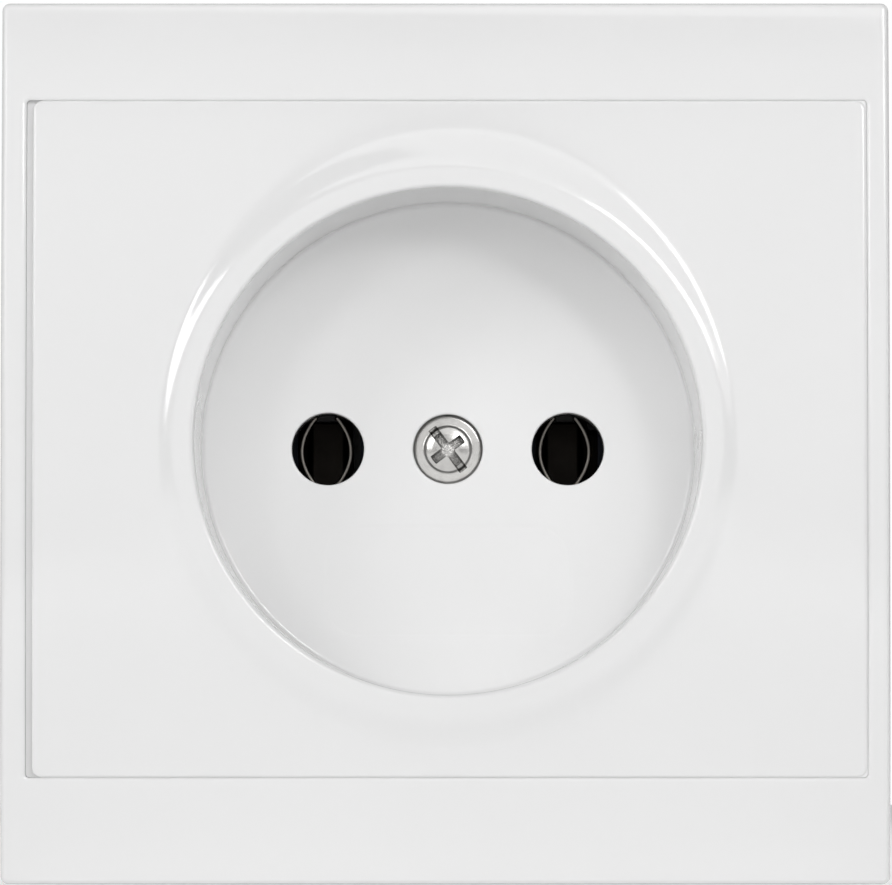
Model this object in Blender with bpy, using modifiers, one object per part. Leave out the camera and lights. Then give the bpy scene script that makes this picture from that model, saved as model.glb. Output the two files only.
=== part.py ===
"""Two-pin wall socket insert with its square surround, on a flush mounting mechanism.

The model is laid out on its back, as on a bench: x to the right, y up the face, z out of
the wall towards the room, with z = 0 on the wall. The empty wall_plane then stands the
whole thing up, so that the face looks along -Y and +Z is up. Sizes are in metres.
"""
import math

import bmesh
import bpy
from mathutils import Matrix

# Clearances
SEAT_GAP = 0.0003            # between two pieces that rest on each other
RUN_GAP = 0.00035            # between a piece and the bore or pocket it drops into

# Surround
SIDE_BAR = 0.00177           # width of the face at the left and right of the window
END_BAR = 0.00788            # height of the face above and below the window
FACE_DEPTH = 0.0086          # front of the surround above the wall, at the window's ends
FACE_CROWN_RADIUS = 0.600    # the surround is bowed too, a little less than the insert
FACE_CORNER = 0.0006
FACE_EDGE_ROUND = 0.0004
FACE_SHIFT_X = -0.0002       # the surround sits a little to the left, within its play
FACE_SHIFT_Y = -0.0001
FACE_WALL = 0.0012           # outer wall, from the ledge back to the wall
BAR_SKIN = 0.0018            # front of the top and bottom bars
BAR_RIB = 0.0010
BAR_POCKETS = 6              # hollows behind each bar, with a rib between two
FACE_STRIPS = 14
WINDOW_GAP_SIDE = 0.00048    # mean gap to the insert, left and right
WINDOW_GAP_END = 0.00027     # mean gap to the insert, top and bottom
WINDOW_WALL = 0.0012
WINDOW_CORNER = 0.0003
LEDGE_UNDERSIDE = 0.0035     # above the wall
LEDGE_THICKNESS = 0.0014
LEDGE_REACH = 0.0020
LEDGE_CORNER = 0.0010

# Insert plate
PLATE_WIDTH = 0.0643
PLATE_MARGIN = 0.0044        # plate above and below the collar
PLATE_RISE = 0.0001          # centre of the plate above the pin line
PLATE_CORNER = 0.0007
PLATE_EDGE_ROUND = 0.0002
PLATE_CROWN_RADIUS = 0.470   # the plate is bowed about a level axis
PLATE_PROUD = 0.00008        # at the top and bottom edge, in front of the surround
PLATE_SKIN = 0.0018
PLATE_STRIPS = 20
SKIRT_WALL = 0.0012
PLATE_RIB = 0.0010

# Collar and recess
RECESS_RADIUS = 0.01965
RECESS_DEPTH = 0.0150
RECESS_DRAFT = 0.00014       # the wall leans in by this much at the floor
CUP_WALL = 0.0016
CUP_FLOOR = 0.0020
CUP_BACK_ROUND = 0.0008
RIM_ROUND = 0.0004
FLOOR_FILLET = 0.0004
COLLAR_WIDTH = 0.00195       # level top of the collar, out from the recess wall
COLLAR_RISE = 0.00014        # in front of the crown of the plate
COLLAR_SLOPE = math.radians(20)
COLLAR_EDGE_ROUND = 0.0010
COLLAR_ROOT = 0.0004         # how far the flank goes on below the plate's surface
PANEL_HALF_WIDTH = 0.0099
PANEL_TOP = -0.0059
PANEL_EDGE = 0.00465         # floor between the panel and the recess wall
PANEL_CORNER = 0.0028
PANEL_DEPTH = 0.00015

# Pin holes and the middle screw
PIN_SPACING = 0.0190
PIN_HOLE_RADIUS = 0.00286
PIN_HOLE_EDGE = 0.00012
WELL_RADIUS = 0.00275
WELL_DEPTH = 0.0024
BOSS_WALL = 0.00145
SCREW_HEAD_RADIUS = 0.0026
SCREW_HEAD_EDGE = 0.0009     # height of the head's straight side
SCREW_HEAD_DOME = 0.0008
SCREW_SHANK_RADIUS = 0.00135
SCREW_LENGTH = 0.0125
SCREW_SLOT_WIDTH = 0.00075
SCREW_SLOT_DEPTH = 0.0006
SCREW_CROSS_REACH = 0.00145
SCREW_CROSS_DEPTH = 0.0011
SCREW_TURN = math.radians(127)

# Mounting strap
STRAP_THICKNESS = 0.0010
STRAP_SIDE_GAP = 0.0003      # to the surround's wall
STRAP_CORNER = 0.0030
STRAP_OPENING_STEP = 0.0010  # the strap's opening is wider than the housing's pocket
SLOT_EDGE = 0.0010           # metal left outside the fixing slots
SLOT_WIDTH = 0.0034
SLOT_SWEEP = math.radians(9)
TAB_NEAR = 0.0150            # bent tabs at the strap's sides, from the level middle line
TAB_FAR = 0.0260
TAB_HEIGHT = 0.0028
TAB_BEND = 0.0006

# Housing
HOUSING_DEPTH = 0.0250       # behind the wall
HOUSING_WALL = 0.0029
HOUSING_BACK_ROUND = 0.0012
EAR_REACH = 0.0021           # centre of each ear outside the tub
EAR_ROUND = 0.0031
EAR_THICKNESS = 0.0030
EAR_PLATE_STEP = 0.0003      # the ears' plate stands out round the tub by this much
GUIDE_THICKNESS = 0.0020
GUIDE_FUNNEL = 0.0006
CHAMBER_FLOOR = 0.0030       # plastic behind the contacts
CORE_WALL = 0.0020           # round the hollows that lighten the back of the housing
CORE_RIB = 0.0014
CORE_SKIN = 0.0024           # between those hollows and the pocket
CORES_PER_ROW = 5
CONTACT_CHAMBER_HALF = 0.0042
TERMINAL_WALL = 0.0034       # plastic outside the terminals, at the housing's flats

# Contacts
SHEET = 0.00045
LEAF_HALF_HEIGHT = 0.0026
LEAF_TIP_GAP = 0.0005        # half the gap between the leaves at their upper and lower tips
LEAF_BULGE = 0.00125
LEAF_ROOT_GAP = 0.0016       # half the gap between the leaves at their root
LEAF_BEND = 0.0007
LEAF_SETBACK = 0.0005        # front of the leaves behind the guide
TAIL_HALF_HEIGHT = 0.0022
TAIL_RISE = 0.0080
WELD_DEPTH = 0.00005         # the tail is pressed this far into the clip's base
SPRING_SHEET = 0.0004
SPRING_WIDTH = 0.0026
SPRING_BACK = 0.0022         # front of the spring behind the front of the leaves
SPRING_MOUTH = 0.0020
SPRING_BEND = 0.0008

# Terminals
TERMINAL_WIDTH = 0.0060
TERMINAL_HEIGHT = 0.0132
TERMINAL_DEPTH = 0.0090
TERMINAL_EDGE = 0.0003
WIRE_RADIUS = 0.0016
WIRE_PITCH = 0.0066
WIRE_FUNNEL = 0.0009
TERMINAL_SCREW_RADIUS = 0.0012
TERMINAL_SCREW_HEAD_RADIUS = 0.0019
TERMINAL_SCREW_HEAD = 0.0015
TERMINAL_SCREW_SLOT = 0.0006

# Small metal pieces
INSERT_RADIUS = 0.0026
INSERT_LENGTH = 0.0060
STRAP_SCREW_RADIUS = 0.0010
STRAP_SCREW_HEAD_RADIUS = 0.0021
STRAP_SCREW_HEAD = 0.0013
STRAP_SCREW_REACH = 0.0024   # how far the shank goes into the ear

# Facets
RECESS_STEPS = 80
BODY_STEPS = 48
HOLE_STEPS = 28
SMALL_STEPS = 16
SCREW_STEPS = 12
LEAF_COLUMNS = 6
LEAF_ROWS = 6
BEND_ROWS = 3

# Heights along the bench z, worked out from the sizes above
COLLAR_RADIUS = RECESS_RADIUS + COLLAR_WIDTH
PLATE_HEIGHT = 2 * (COLLAR_RADIUS + PLATE_MARGIN)
PANEL_BOTTOM = PANEL_EDGE - RECESS_RADIUS
WINDOW_WIDTH = PLATE_WIDTH + 2 * WINDOW_GAP_SIDE
WINDOW_HEIGHT = PLATE_HEIGHT + 2 * WINDOW_GAP_END
FACE_WIDTH = WINDOW_WIDTH + 2 * SIDE_BAR
FACE_HEIGHT = WINDOW_HEIGHT + 2 * END_BAR
HOLLOW_WIDTH = FACE_WIDTH - 2 * FACE_WALL
HOLLOW_HEIGHT = FACE_HEIGHT - 2 * FACE_WALL
FACE_APEX = FACE_DEPTH + (WINDOW_HEIGHT / 2) ** 2 / (2 * FACE_CROWN_RADIUS)
BAR_EDGE_DROP = ((FACE_HEIGHT / 2) ** 2 - (WINDOW_HEIGHT / 2) ** 2) / (2 * FACE_CROWN_RADIUS)
STRAP_WIDTH = HOLLOW_WIDTH - 2 * (STRAP_SIDE_GAP + abs(FACE_SHIFT_X))
STRAP_HEIGHT = HOLLOW_HEIGHT - 2 * (STRAP_SIDE_GAP + abs(FACE_SHIFT_Y))
LEDGE_TOP = LEDGE_UNDERSIDE + LEDGE_THICKNESS
PLATE_DROP = (PLATE_HEIGHT / 2) ** 2 / (2 * PLATE_CROWN_RADIUS)
PLATE_APEX = FACE_DEPTH + PLATE_PROUD + PLATE_DROP
PLATE_BACK = LEDGE_TOP + SEAT_GAP
COLLAR_TOP = PLATE_APEX + COLLAR_RISE
FLOOR_TOP = COLLAR_TOP - RECESS_DEPTH
CUP_RADIUS = RECESS_RADIUS + CUP_WALL
CUP_BACK = FLOOR_TOP - CUP_FLOOR
GUIDE_TOP = CUP_BACK - SEAT_GAP
GUIDE_BACK = GUIDE_TOP - GUIDE_THICKNESS
POCKET_FLOOR = GUIDE_BACK - SEAT_GAP
POCKET_RADIUS = CUP_RADIUS + RUN_GAP
HOUSING_RADIUS = POCKET_RADIUS + HOUSING_WALL
EAR_OUT = HOUSING_RADIUS + EAR_REACH
HOUSING_BACK = -HOUSING_DEPTH
CHAMBER_BACK = HOUSING_BACK + CHAMBER_FLOOR
BOSS_RADIUS = WELL_RADIUS + BOSS_WALL
BOSS_BACK = POCKET_FLOOR + SEAT_GAP
WELL_FLOOR = FLOOR_TOP - WELL_DEPTH
SCREW_BORE = SCREW_SHANK_RADIUS + RUN_GAP
PIN_X = PIN_SPACING / 2
LEAF_FRONT = GUIDE_BACK - SEAT_GAP - LEAF_SETBACK
CONTACT_BACK = CHAMBER_BACK + SEAT_GAP
CLIP_BACK = CONTACT_BACK + SHEET - WELD_DEPTH
SPRING_HALF_WIDTH = LEAF_TIP_GAP + LEAF_BULGE + SHEET + SEAT_GAP + SPRING_SHEET
TAIL_X = PIN_X + SPRING_HALF_WIDTH + SEAT_GAP
TERMINAL_X = TAIL_X + SHEET + SEAT_GAP
TERMINAL_END = TERMINAL_X + TERMINAL_WIDTH
TERMINAL_CHAMBER_END = TERMINAL_END + SEAT_GAP
TERMINAL_BACK = CHAMBER_BACK + SEAT_GAP
TERMINAL_MIDDLE = TERMINAL_BACK + TERMINAL_DEPTH / 2
WIRE_X = TERMINAL_X + TERMINAL_WIDTH / 2
HOUSING_FLAT = TERMINAL_CHAMBER_END + TERMINAL_WALL


# A flat section drawn in x and y, pushed along z, is stood up by swapping y and z.
SWAP_YZ = Matrix(((1, 0, 0, 0), (0, 0, 1, 0), (0, 1, 0, 0), (0, 0, 0, 1)))


def collection(name):
    """Make a collection and link it under the scene."""
    made = bpy.data.collections.new(name)
    bpy.context.scene.collection.children.link(made)
    return made


def linked(name, mesh):
    """Put a mesh in the part's collection as an object of that name."""
    piece = bpy.data.objects.new(name, mesh)
    PARTS.objects.link(piece)
    return piece


def from_bmesh(name, shape):
    """Turn a bmesh into an object."""
    mesh = bpy.data.meshes.new(name)
    shape.to_mesh(mesh)
    shape.free()
    return linked(name, mesh)


def bake(piece):
    """Replace an object's mesh by what its modifiers make of it."""
    evaluated = piece.evaluated_get(bpy.context.evaluated_depsgraph_get())
    mesh = bpy.data.meshes.new_from_object(evaluated)
    piece.modifiers.clear()
    piece.data = mesh
    return piece


def block(name, low, high):
    """A box between two corners."""
    shape = bmesh.new()
    bmesh.ops.create_cube(shape, size=1.0)
    size = [b - a for a, b in zip(low, high)]
    middle = [(a + b) / 2 for a, b in zip(low, high)]
    bmesh.ops.scale(shape, vec=size, verts=shape.verts)
    bmesh.ops.translate(shape, vec=middle, verts=shape.verts)
    return from_bmesh(name, shape)


def upright(edge):
    """True for an edge that runs along z."""
    a, b = edge.verts
    return abs(a.co.z - b.co.z) > abs(a.co.x - b.co.x) + abs(a.co.y - b.co.y)


def rounded_block(name, width, height, low, high, corner, edge=0.0, centre=(0.0, 0.0), steps=6):
    """A plate between two heights, its corners rounded and, with edge, its front edge too."""
    shape = bmesh.new()
    bmesh.ops.create_cube(shape, size=1.0)
    bmesh.ops.scale(shape, vec=(width, height, high - low), verts=shape.verts)
    bmesh.ops.translate(shape, vec=(*centre, (low + high) / 2), verts=shape.verts)
    sides = [e for e in shape.edges if upright(e)]
    bmesh.ops.bevel(shape, geom=sides, offset=corner, segments=steps, profile=0.5, affect="EDGES")
    if edge:
        front = [e for e in shape.edges if all(v.co.z > high - 1e-6 for v in e.verts)]
        bmesh.ops.bevel(shape, geom=front, offset=edge, segments=3, profile=0.5, affect="EDGES")
    return from_bmesh(name, shape)


def cylinder(name, radius, low, high, centre=(0.0, 0.0), steps=HOLE_STEPS):
    """A round bar along z between two heights, its corners on the diagonals."""
    shape = bmesh.new()
    place = Matrix.Translation((*centre, (low + high) / 2)) @ Matrix.Rotation(math.pi / steps, 4, "Z")
    bmesh.ops.create_cone(shape, cap_ends=True, segments=steps, radius1=radius, radius2=radius,
                          depth=high - low, matrix=place)
    return from_bmesh(name, shape)


def turned(name, profile, steps, closed=False):
    """Turn a profile of (radius, height) points about z; it runs down the outer side."""
    mesh = bpy.data.meshes.new(name)
    points = [(radius, 0.0, height) for radius, height in profile]
    edges = [(i, i + 1) for i in range(len(points) - 1)]
    if closed:
        edges.append((len(points) - 1, 0))
    mesh.from_pydata(points, edges, [])
    piece = linked(name, mesh)
    screw = piece.modifiers.new("turn", "SCREW")
    screw.steps = steps
    screw.render_steps = steps
    screw.use_merge_vertices = True
    screw.merge_threshold = 1e-6
    return bake(piece)


def arc(centre_r, centre_z, radius, start, end, steps):
    """Points of an arc in the (radius, height) plane, angles in degrees from outwards."""
    angles = [math.radians(start + (end - start) * i / steps) for i in range(steps + 1)]
    return [(centre_r + radius * math.cos(a), centre_z + radius * math.sin(a)) for a in angles]


def rounded_outline(width, height, corner, steps=6, centre=(0.0, 0.0)):
    """The points of a rectangle with round corners, anticlockwise."""
    points = []
    for quarter, (sx, sy) in enumerate(((1, 1), (-1, 1), (-1, -1), (1, -1))):
        cx = centre[0] + sx * (width / 2 - corner)
        cy = centre[1] + sy * (height / 2 - corner)
        points += arc(cx, cy, corner, 90 * quarter, 90 * quarter + 90, steps)
    return points


def circle_outline(radius, centre=(0.0, 0.0), steps=SMALL_STEPS):
    """The points of a circle."""
    return arc(*centre, radius, 0, 360, steps)[:-1]


def slot_outline(middle, strap_size):
    """A slot of even width near the strap's edge, bent round the axis, with round ends."""
    half = SLOT_WIDTH / 2
    radius = strap_size / 2 - SLOT_EDGE - half
    start = middle - math.degrees(SLOT_SWEEP)
    end = middle + math.degrees(SLOT_SWEEP)
    outer = arc(0, 0, radius + half, start, end, 6)
    inner = arc(0, 0, radius - half, end, start, 6)
    far = arc(*arc(0, 0, radius, end, end, 1)[0], half, end, end + 180, 6)[1:-1]
    near = arc(*arc(0, 0, radius, start, start, 1)[0], half, start + 180, start + 360, 6)[1:-1]
    return outer + far + inner + near


def flat_shape(name, outlines, low, high):
    """Fill the first outline less the others, and give it thickness between two heights."""
    flat = bpy.data.curves.new(name, "CURVE")
    flat.dimensions = "2D"
    flat.fill_mode = "BOTH"
    flat.extrude = (high - low) / 2
    for outline in outlines:
        spline = flat.splines.new("POLY")
        spline.points.add(len(outline) - 1)
        for point, (x, y) in zip(spline.points, outline):
            point.co = (x, y, 0.0, 1.0)
        spline.use_cyclic_u = True
    source = bpy.data.objects.new(name, flat)
    PARTS.objects.link(source)
    evaluated = source.evaluated_get(bpy.context.evaluated_depsgraph_get())
    mesh = bpy.data.meshes.new_from_object(evaluated)
    bpy.data.objects.remove(source)
    shape = bmesh.new()
    shape.from_mesh(mesh)
    bmesh.ops.remove_doubles(shape, verts=shape.verts, dist=1e-6)
    bmesh.ops.recalc_face_normals(shape, faces=shape.faces)
    bmesh.ops.translate(shape, vec=(0, 0, (low + high) / 2), verts=shape.verts)
    return from_bmesh(name, shape)


def combine(piece, tool, operation):
    """Join a tool to a piece, or cut it out of it, and drop the tool."""
    modifier = piece.modifiers.new("combine", "BOOLEAN")
    modifier.operation = operation
    modifier.solver = "EXACT"
    modifier.object = tool
    bake(piece)
    bpy.data.objects.remove(tool)
    return piece


def join(piece, *tools):
    """Union with each tool in turn."""
    for tool in tools:
        combine(piece, tool, "UNION")
    return piece


def cut(piece, *tools):
    """Take each tool away in turn."""
    for tool in tools:
        combine(piece, tool, "DIFFERENCE")
    return piece


def moved(piece, matrix):
    """Move a mesh within its object."""
    piece.data.transform(matrix)
    if matrix.determinant() < 0:
        piece.data.flip_normals()
    return piece


def finish(piece, colour, roughness, metallic=0.0):
    """Give a piece its material and smooth shading between its sharp edges."""
    look = bpy.data.materials.new(piece.name)
    look.use_nodes = True
    shader = look.node_tree.nodes["Principled BSDF"]
    shader.inputs["Base Color"].default_value = (*colour, 1.0)
    shader.inputs["Roughness"].default_value = roughness
    shader.inputs["Metallic"].default_value = metallic
    piece.data.materials.clear()
    piece.data.materials.append(look)
    piece.data.shade_smooth()
    piece.data.set_sharp_from_angle(angle=math.radians(30))
    return piece


def white(piece):
    """Glossy white thermoplastic."""
    return finish(piece, (0.83, 0.83, 0.84), 0.15)


def black(piece):
    """Black thermoplastic."""
    return finish(piece, (0.02, 0.02, 0.02), 0.4)


def zinc(piece):
    """Zinc plated steel."""
    return finish(piece, (0.68, 0.69, 0.71), 0.3, 1.0)


def bronze(piece):
    """Phosphor bronze sheet."""
    return finish(piece, (0.66, 0.45, 0.27), 0.3, 1.0)


def brass(piece):
    """Machined brass."""
    return finish(piece, (0.75, 0.60, 0.30), 0.28, 1.0)


def surround():
    """The square outer moulding: two hollow bars, two thin sides and a ledge for the insert."""
    centre = (FACE_SHIFT_X, FACE_SHIFT_Y)
    window_centre = (FACE_SHIFT_X, PLATE_RISE)
    shell = rounded_block("surround_frame", FACE_WIDTH, FACE_HEIGHT, 0, FACE_APEX,
                          FACE_CORNER, FACE_EDGE_ROUND, centre)
    bow(shell, PLATE_RISE, FACE_HEIGHT, FACE_CROWN_RADIUS, FACE_STRIPS)
    window = rounded_block("window", WINDOW_WIDTH, WINDOW_HEIGHT, LEDGE_TOP, 2 * FACE_DEPTH,
                           WINDOW_CORNER, 0, window_centre)
    through = rounded_block("through", WINDOW_WIDTH - 2 * LEDGE_REACH, WINDOW_HEIGHT - 2 * LEDGE_REACH,
                            -FACE_DEPTH, 2 * FACE_DEPTH, LEDGE_CORNER, 0, window_centre)
    hollow = rounded_block("hollow", HOLLOW_WIDTH, HOLLOW_HEIGHT, -FACE_DEPTH, LEDGE_UNDERSIDE,
                           WINDOW_CORNER, 0, centre)
    cut(shell, window, through, hollow)
    pocket_span = (WINDOW_WIDTH - (BAR_POCKETS - 1) * BAR_RIB) / BAR_POCKETS
    for side in (1, -1):
        inner = window_centre[1] + side * (WINDOW_HEIGHT / 2 + WINDOW_WALL)
        outer = centre[1] + side * HOLLOW_HEIGHT / 2
        for i in range(BAR_POCKETS):
            left = centre[0] - WINDOW_WIDTH / 2 + i * (pocket_span + BAR_RIB)
            low = (left, min(inner, outer), LEDGE_UNDERSIDE - BAR_RIB)
            high = (left + pocket_span, max(inner, outer), FACE_DEPTH - BAR_EDGE_DROP - BAR_SKIN)
            cut(shell, block("pocket", low, high))
    return white(shell)


def bow(plate, middle, height, radius, strips):
    """Bow a plate's front about a level axis: divide it into strips and lower them outwards."""
    shape = bmesh.new()
    shape.from_mesh(plate.data)
    heights = [vertex.co.z for vertex in shape.verts]
    halfway = (min(heights) + max(heights)) / 2
    for i in range(1, strips):
        level = middle + height * (i / strips - 0.5)
        geometry = list(shape.verts) + list(shape.edges) + list(shape.faces)
        bmesh.ops.bisect_plane(shape, geom=geometry, plane_co=(0, level, 0), plane_no=(0, 1, 0))
    for vertex in shape.verts:
        if vertex.co.z > halfway:
            vertex.co.z -= (vertex.co.y - middle) ** 2 / (2 * radius)
    shape.to_mesh(plate.data)
    shape.free()
    return plate


def crowned_plate():
    """The bowed rectangular plate with its skirt, before the cup goes through it."""
    plate = rounded_block("socket_cover", PLATE_WIDTH, PLATE_HEIGHT, PLATE_BACK, PLATE_APEX,
                          PLATE_CORNER, PLATE_EDGE_ROUND, (0, PLATE_RISE))
    bow(plate, PLATE_RISE, PLATE_HEIGHT, PLATE_CROWN_RADIUS, PLATE_STRIPS)
    inside = rounded_block("inside", PLATE_WIDTH - 2 * SKIRT_WALL, PLATE_HEIGHT - 2 * SKIRT_WALL,
                           PLATE_BACK - SKIRT_WALL, PLATE_APEX - PLATE_DROP - PLATE_SKIN,
                           PLATE_CORNER, 0, (0, PLATE_RISE))
    return cut(plate, inside)


def cup_profile():
    """Floor, recess wall, rim, collar and the outside of the cup, as one turned profile."""
    floor_radius = RECESS_RADIUS - RECESS_DRAFT
    profile = [(0, FLOOR_TOP)]
    profile += arc(floor_radius - FLOOR_FILLET, FLOOR_TOP + FLOOR_FILLET, FLOOR_FILLET, 270, 360, 2)
    profile += arc(RECESS_RADIUS + RIM_ROUND, COLLAR_TOP - RIM_ROUND, RIM_ROUND, 180, 90, 4)
    slope = math.degrees(COLLAR_SLOPE)
    tangent = COLLAR_EDGE_ROUND * math.tan(COLLAR_SLOPE / 2)
    profile += arc(COLLAR_RADIUS - tangent, COLLAR_TOP - COLLAR_EDGE_ROUND, COLLAR_EDGE_ROUND,
                   90, 90 - slope, 3)
    # The flank goes on until it is below the bowed plate at the top and bottom of the collar.
    reach = COLLAR_RADIUS
    while COLLAR_TOP - (reach - COLLAR_RADIUS) * math.tan(COLLAR_SLOPE) > (
            PLATE_APEX - (reach + PLATE_RISE) ** 2 / (2 * PLATE_CROWN_RADIUS)):
        reach += COLLAR_ROOT
    foot = COLLAR_TOP - (reach + COLLAR_ROOT - COLLAR_RADIUS) * math.tan(COLLAR_SLOPE)
    profile += [(reach + COLLAR_ROOT, foot), (reach + COLLAR_ROOT, foot - COLLAR_ROOT),
                (CUP_RADIUS, foot - COLLAR_ROOT)]
    profile += arc(CUP_RADIUS - CUP_BACK_ROUND, CUP_BACK + CUP_BACK_ROUND, CUP_BACK_ROUND, 0, -90, 2)
    profile += [(0, CUP_BACK)]
    return profile


def hole_cutter(name, radius, edge, top, back, centre):
    """A straight round hole whose mouth at the given height has a small bevel."""
    profile = [(0, top + edge), (radius + 2 * edge, top + edge), (radius, top - edge),
               (radius, back), (0, back)]
    return moved(turned(name, profile, HOLE_STEPS), Matrix.Translation((*centre, 0)))


def cover():
    """The white insert: crowned plate, collar, round recess, pin holes and screw well."""
    plate = crowned_plate()
    opening = cylinder("opening", (RECESS_RADIUS + CUP_RADIUS) / 2, PLATE_BACK - SKIRT_WALL,
                       PLATE_APEX + RECESS_DEPTH, steps=RECESS_STEPS)
    cut(plate, opening)
    ribs = []
    rib_top = PLATE_APEX - PLATE_DROP - PLATE_SKIN / 2
    for side in (1, -1):
        for offset in (-PIN_SPACING / 2, PIN_SPACING / 2):
            start = side * (CUP_RADIUS - CUP_WALL / 2)
            end = side * (PLATE_WIDTH / 2 - SKIRT_WALL / 2)
            inner = math.sqrt(start ** 2 - offset ** 2) * side
            low = (min(inner, end), offset - PLATE_RIB / 2, PLATE_BACK)
            high = (max(inner, end), offset + PLATE_RIB / 2, rib_top)
            ribs.append(block("rib", low, high))
    join(plate, turned("cup", cup_profile(), RECESS_STEPS), *ribs)
    join(plate, cylinder("boss", BOSS_RADIUS, BOSS_BACK, CUP_BACK + CUP_FLOOR / 2))
    for side in (1, -1):
        cut(plate, hole_cutter("pin_hole", PIN_HOLE_RADIUS, PIN_HOLE_EDGE, FLOOR_TOP,
                               CUP_BACK - CUP_FLOOR, (side * PIN_X, 0)))
    cut(plate, hole_cutter("well", WELL_RADIUS, PIN_HOLE_EDGE, FLOOR_TOP, WELL_FLOOR, (0, 0)))
    cut(plate, cylinder("screw_hole", SCREW_BORE, BOSS_BACK - CUP_FLOOR, FLOOR_TOP))
    panel_centre = (0, (PANEL_TOP + PANEL_BOTTOM) / 2)
    cut(plate, rounded_block("panel", 2 * PANEL_HALF_WIDTH, PANEL_TOP - PANEL_BOTTOM,
                             FLOOR_TOP - PANEL_DEPTH, FLOOR_TOP + CUP_FLOOR, PANEL_CORNER, 0,
                             panel_centre))
    return white(plate)


def strap():
    """The stamped steel strap with its bent tabs, which the box screws hold to the wall."""
    outlines = [rounded_outline(STRAP_WIDTH, STRAP_HEIGHT, STRAP_CORNER),
                circle_outline(POCKET_RADIUS + STRAP_OPENING_STEP, steps=BODY_STEPS)]
    outlines += [slot_outline(middle, size) for middle, size in
                 ((0, STRAP_WIDTH), (90, STRAP_HEIGHT), (180, STRAP_WIDTH), (270, STRAP_HEIGHT))]
    outlines += [circle_outline(STRAP_SCREW_RADIUS + SEAT_GAP, centre, SCREW_STEPS)
                 for centre in ear_centres()]
    plate = flat_shape("mounting_strap", outlines, 0, STRAP_THICKNESS)
    for side in (1, -1):
        for up in (1, -1):
            join(plate, bent_tab(side, up))
    return zinc(plate)


def bent_tab(side, up):
    """A tab bent up from the strap's edge, as a section pushed along the edge."""
    half = STRAP_WIDTH / 2
    outside = TAB_BEND + STRAP_THICKNESS
    section = [(half - outside - TAB_BEND, 0)]
    section += arc(half - outside, outside, outside, 270, 360, 5)
    section += [(half, TAB_HEIGHT), (half - STRAP_THICKNESS, TAB_HEIGHT)]
    section += arc(half - outside, outside, TAB_BEND, 360, 270, 5)
    section += [(half - outside - TAB_BEND, STRAP_THICKNESS)]
    tab = flat_shape("tab", [section], TAB_NEAR, TAB_FAR)
    return moved(tab, Matrix.Diagonal((side, up, 1, 1)) @ SWAP_YZ)


def ear_centres():
    """Where the four ears and their screws are, on the diagonals."""
    angles = [math.radians(45 + 90 * quarter) for quarter in range(4)]
    return [(EAR_OUT * math.cos(a), EAR_OUT * math.sin(a)) for a in angles]


def ear_outline():
    """The outline of the plate with the four ears: a circle with four round-ended lobes."""
    radius = HOUSING_RADIUS + EAR_PLATE_STEP
    half = math.degrees(math.asin(EAR_ROUND / radius))
    points = []
    for x, y in ear_centres():
        middle = math.degrees(math.atan2(y, x))
        points += arc(0, 0, radius, middle - 90 + half, middle - half, 12)
        points += arc(x, y, EAR_ROUND, middle - 90, middle + 90, 8)
    return points


def housing():
    """The black base: a tub for the cup, chambers for contacts and terminals, four ears."""
    top = -SEAT_GAP - EAR_THICKNESS / 2
    profile = [(0, top), (HOUSING_RADIUS, top)]
    profile += arc(HOUSING_RADIUS - HOUSING_BACK_ROUND, HOUSING_BACK + HOUSING_BACK_ROUND,
                   HOUSING_BACK_ROUND, 0, -90, 3)
    profile += [(0, HOUSING_BACK)]
    body = turned("base_housing", profile, BODY_STEPS)
    for side in (1, -1):
        flat = block("flat", (HOUSING_FLAT, -HOUSING_RADIUS, 2 * HOUSING_BACK),
                     (2 * HOUSING_FLAT, HOUSING_RADIUS, -SEAT_GAP - EAR_THICKNESS))
        cut(body, moved(flat, Matrix.Diagonal((side, 1, 1, 1))))
    join(body, flat_shape("ears", [ear_outline()], -SEAT_GAP - EAR_THICKNESS, -SEAT_GAP))
    cut(body, cylinder("pocket", POCKET_RADIUS, POCKET_FLOOR, FACE_DEPTH, steps=BODY_STEPS))
    for side in (1, -1):
        cut(body, *chamber_cutters(side))
    cut(body, *core_cutters())
    for centre in ear_centres():
        cut(body, cylinder("pilot", STRAP_SCREW_RADIUS + SEAT_GAP, 2 * HOUSING_BACK, FACE_DEPTH,
                           centre, SMALL_STEPS))
    insert_back = POCKET_FLOOR - INSERT_LENGTH - SEAT_GAP
    cut(body, cylinder("insert_bore", INSERT_RADIUS + SEAT_GAP, insert_back, FACE_DEPTH, steps=SMALL_STEPS))
    cut(body, cylinder("screw_end", SCREW_BORE, WELL_FLOOR - SCREW_LENGTH - RUN_GAP, 0, steps=SMALL_STEPS))
    return black(body)


def core_cutters():
    """The hollows in the back above and below the terminals, open backwards, with ribs between."""
    radius = HOUSING_RADIUS - CORE_WALL
    near = TERMINAL_HEIGHT / 2 + SEAT_GAP + CORE_WALL
    reach = math.sqrt(radius ** 2 - (near + CORE_WALL) ** 2)
    span = (2 * reach - (CORES_PER_ROW - 1) * CORE_RIB) / CORES_PER_ROW
    top = POCKET_FLOOR - CORE_SKIN
    cutters = []
    for up in (1, -1):
        for i in range(CORES_PER_ROW):
            left = -reach + i * (span + CORE_RIB)
            box = block("core", (left, near, 2 * HOUSING_BACK), (left + span, HOUSING_RADIUS, top))
            round_wall = cylinder("core_wall", radius, 3 * HOUSING_BACK, 0, steps=BODY_STEPS)
            combine(box, round_wall, "INTERSECT")
            cutters.append(moved(box, Matrix.Diagonal((1, up, 1, 1))))
    return cutters


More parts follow.
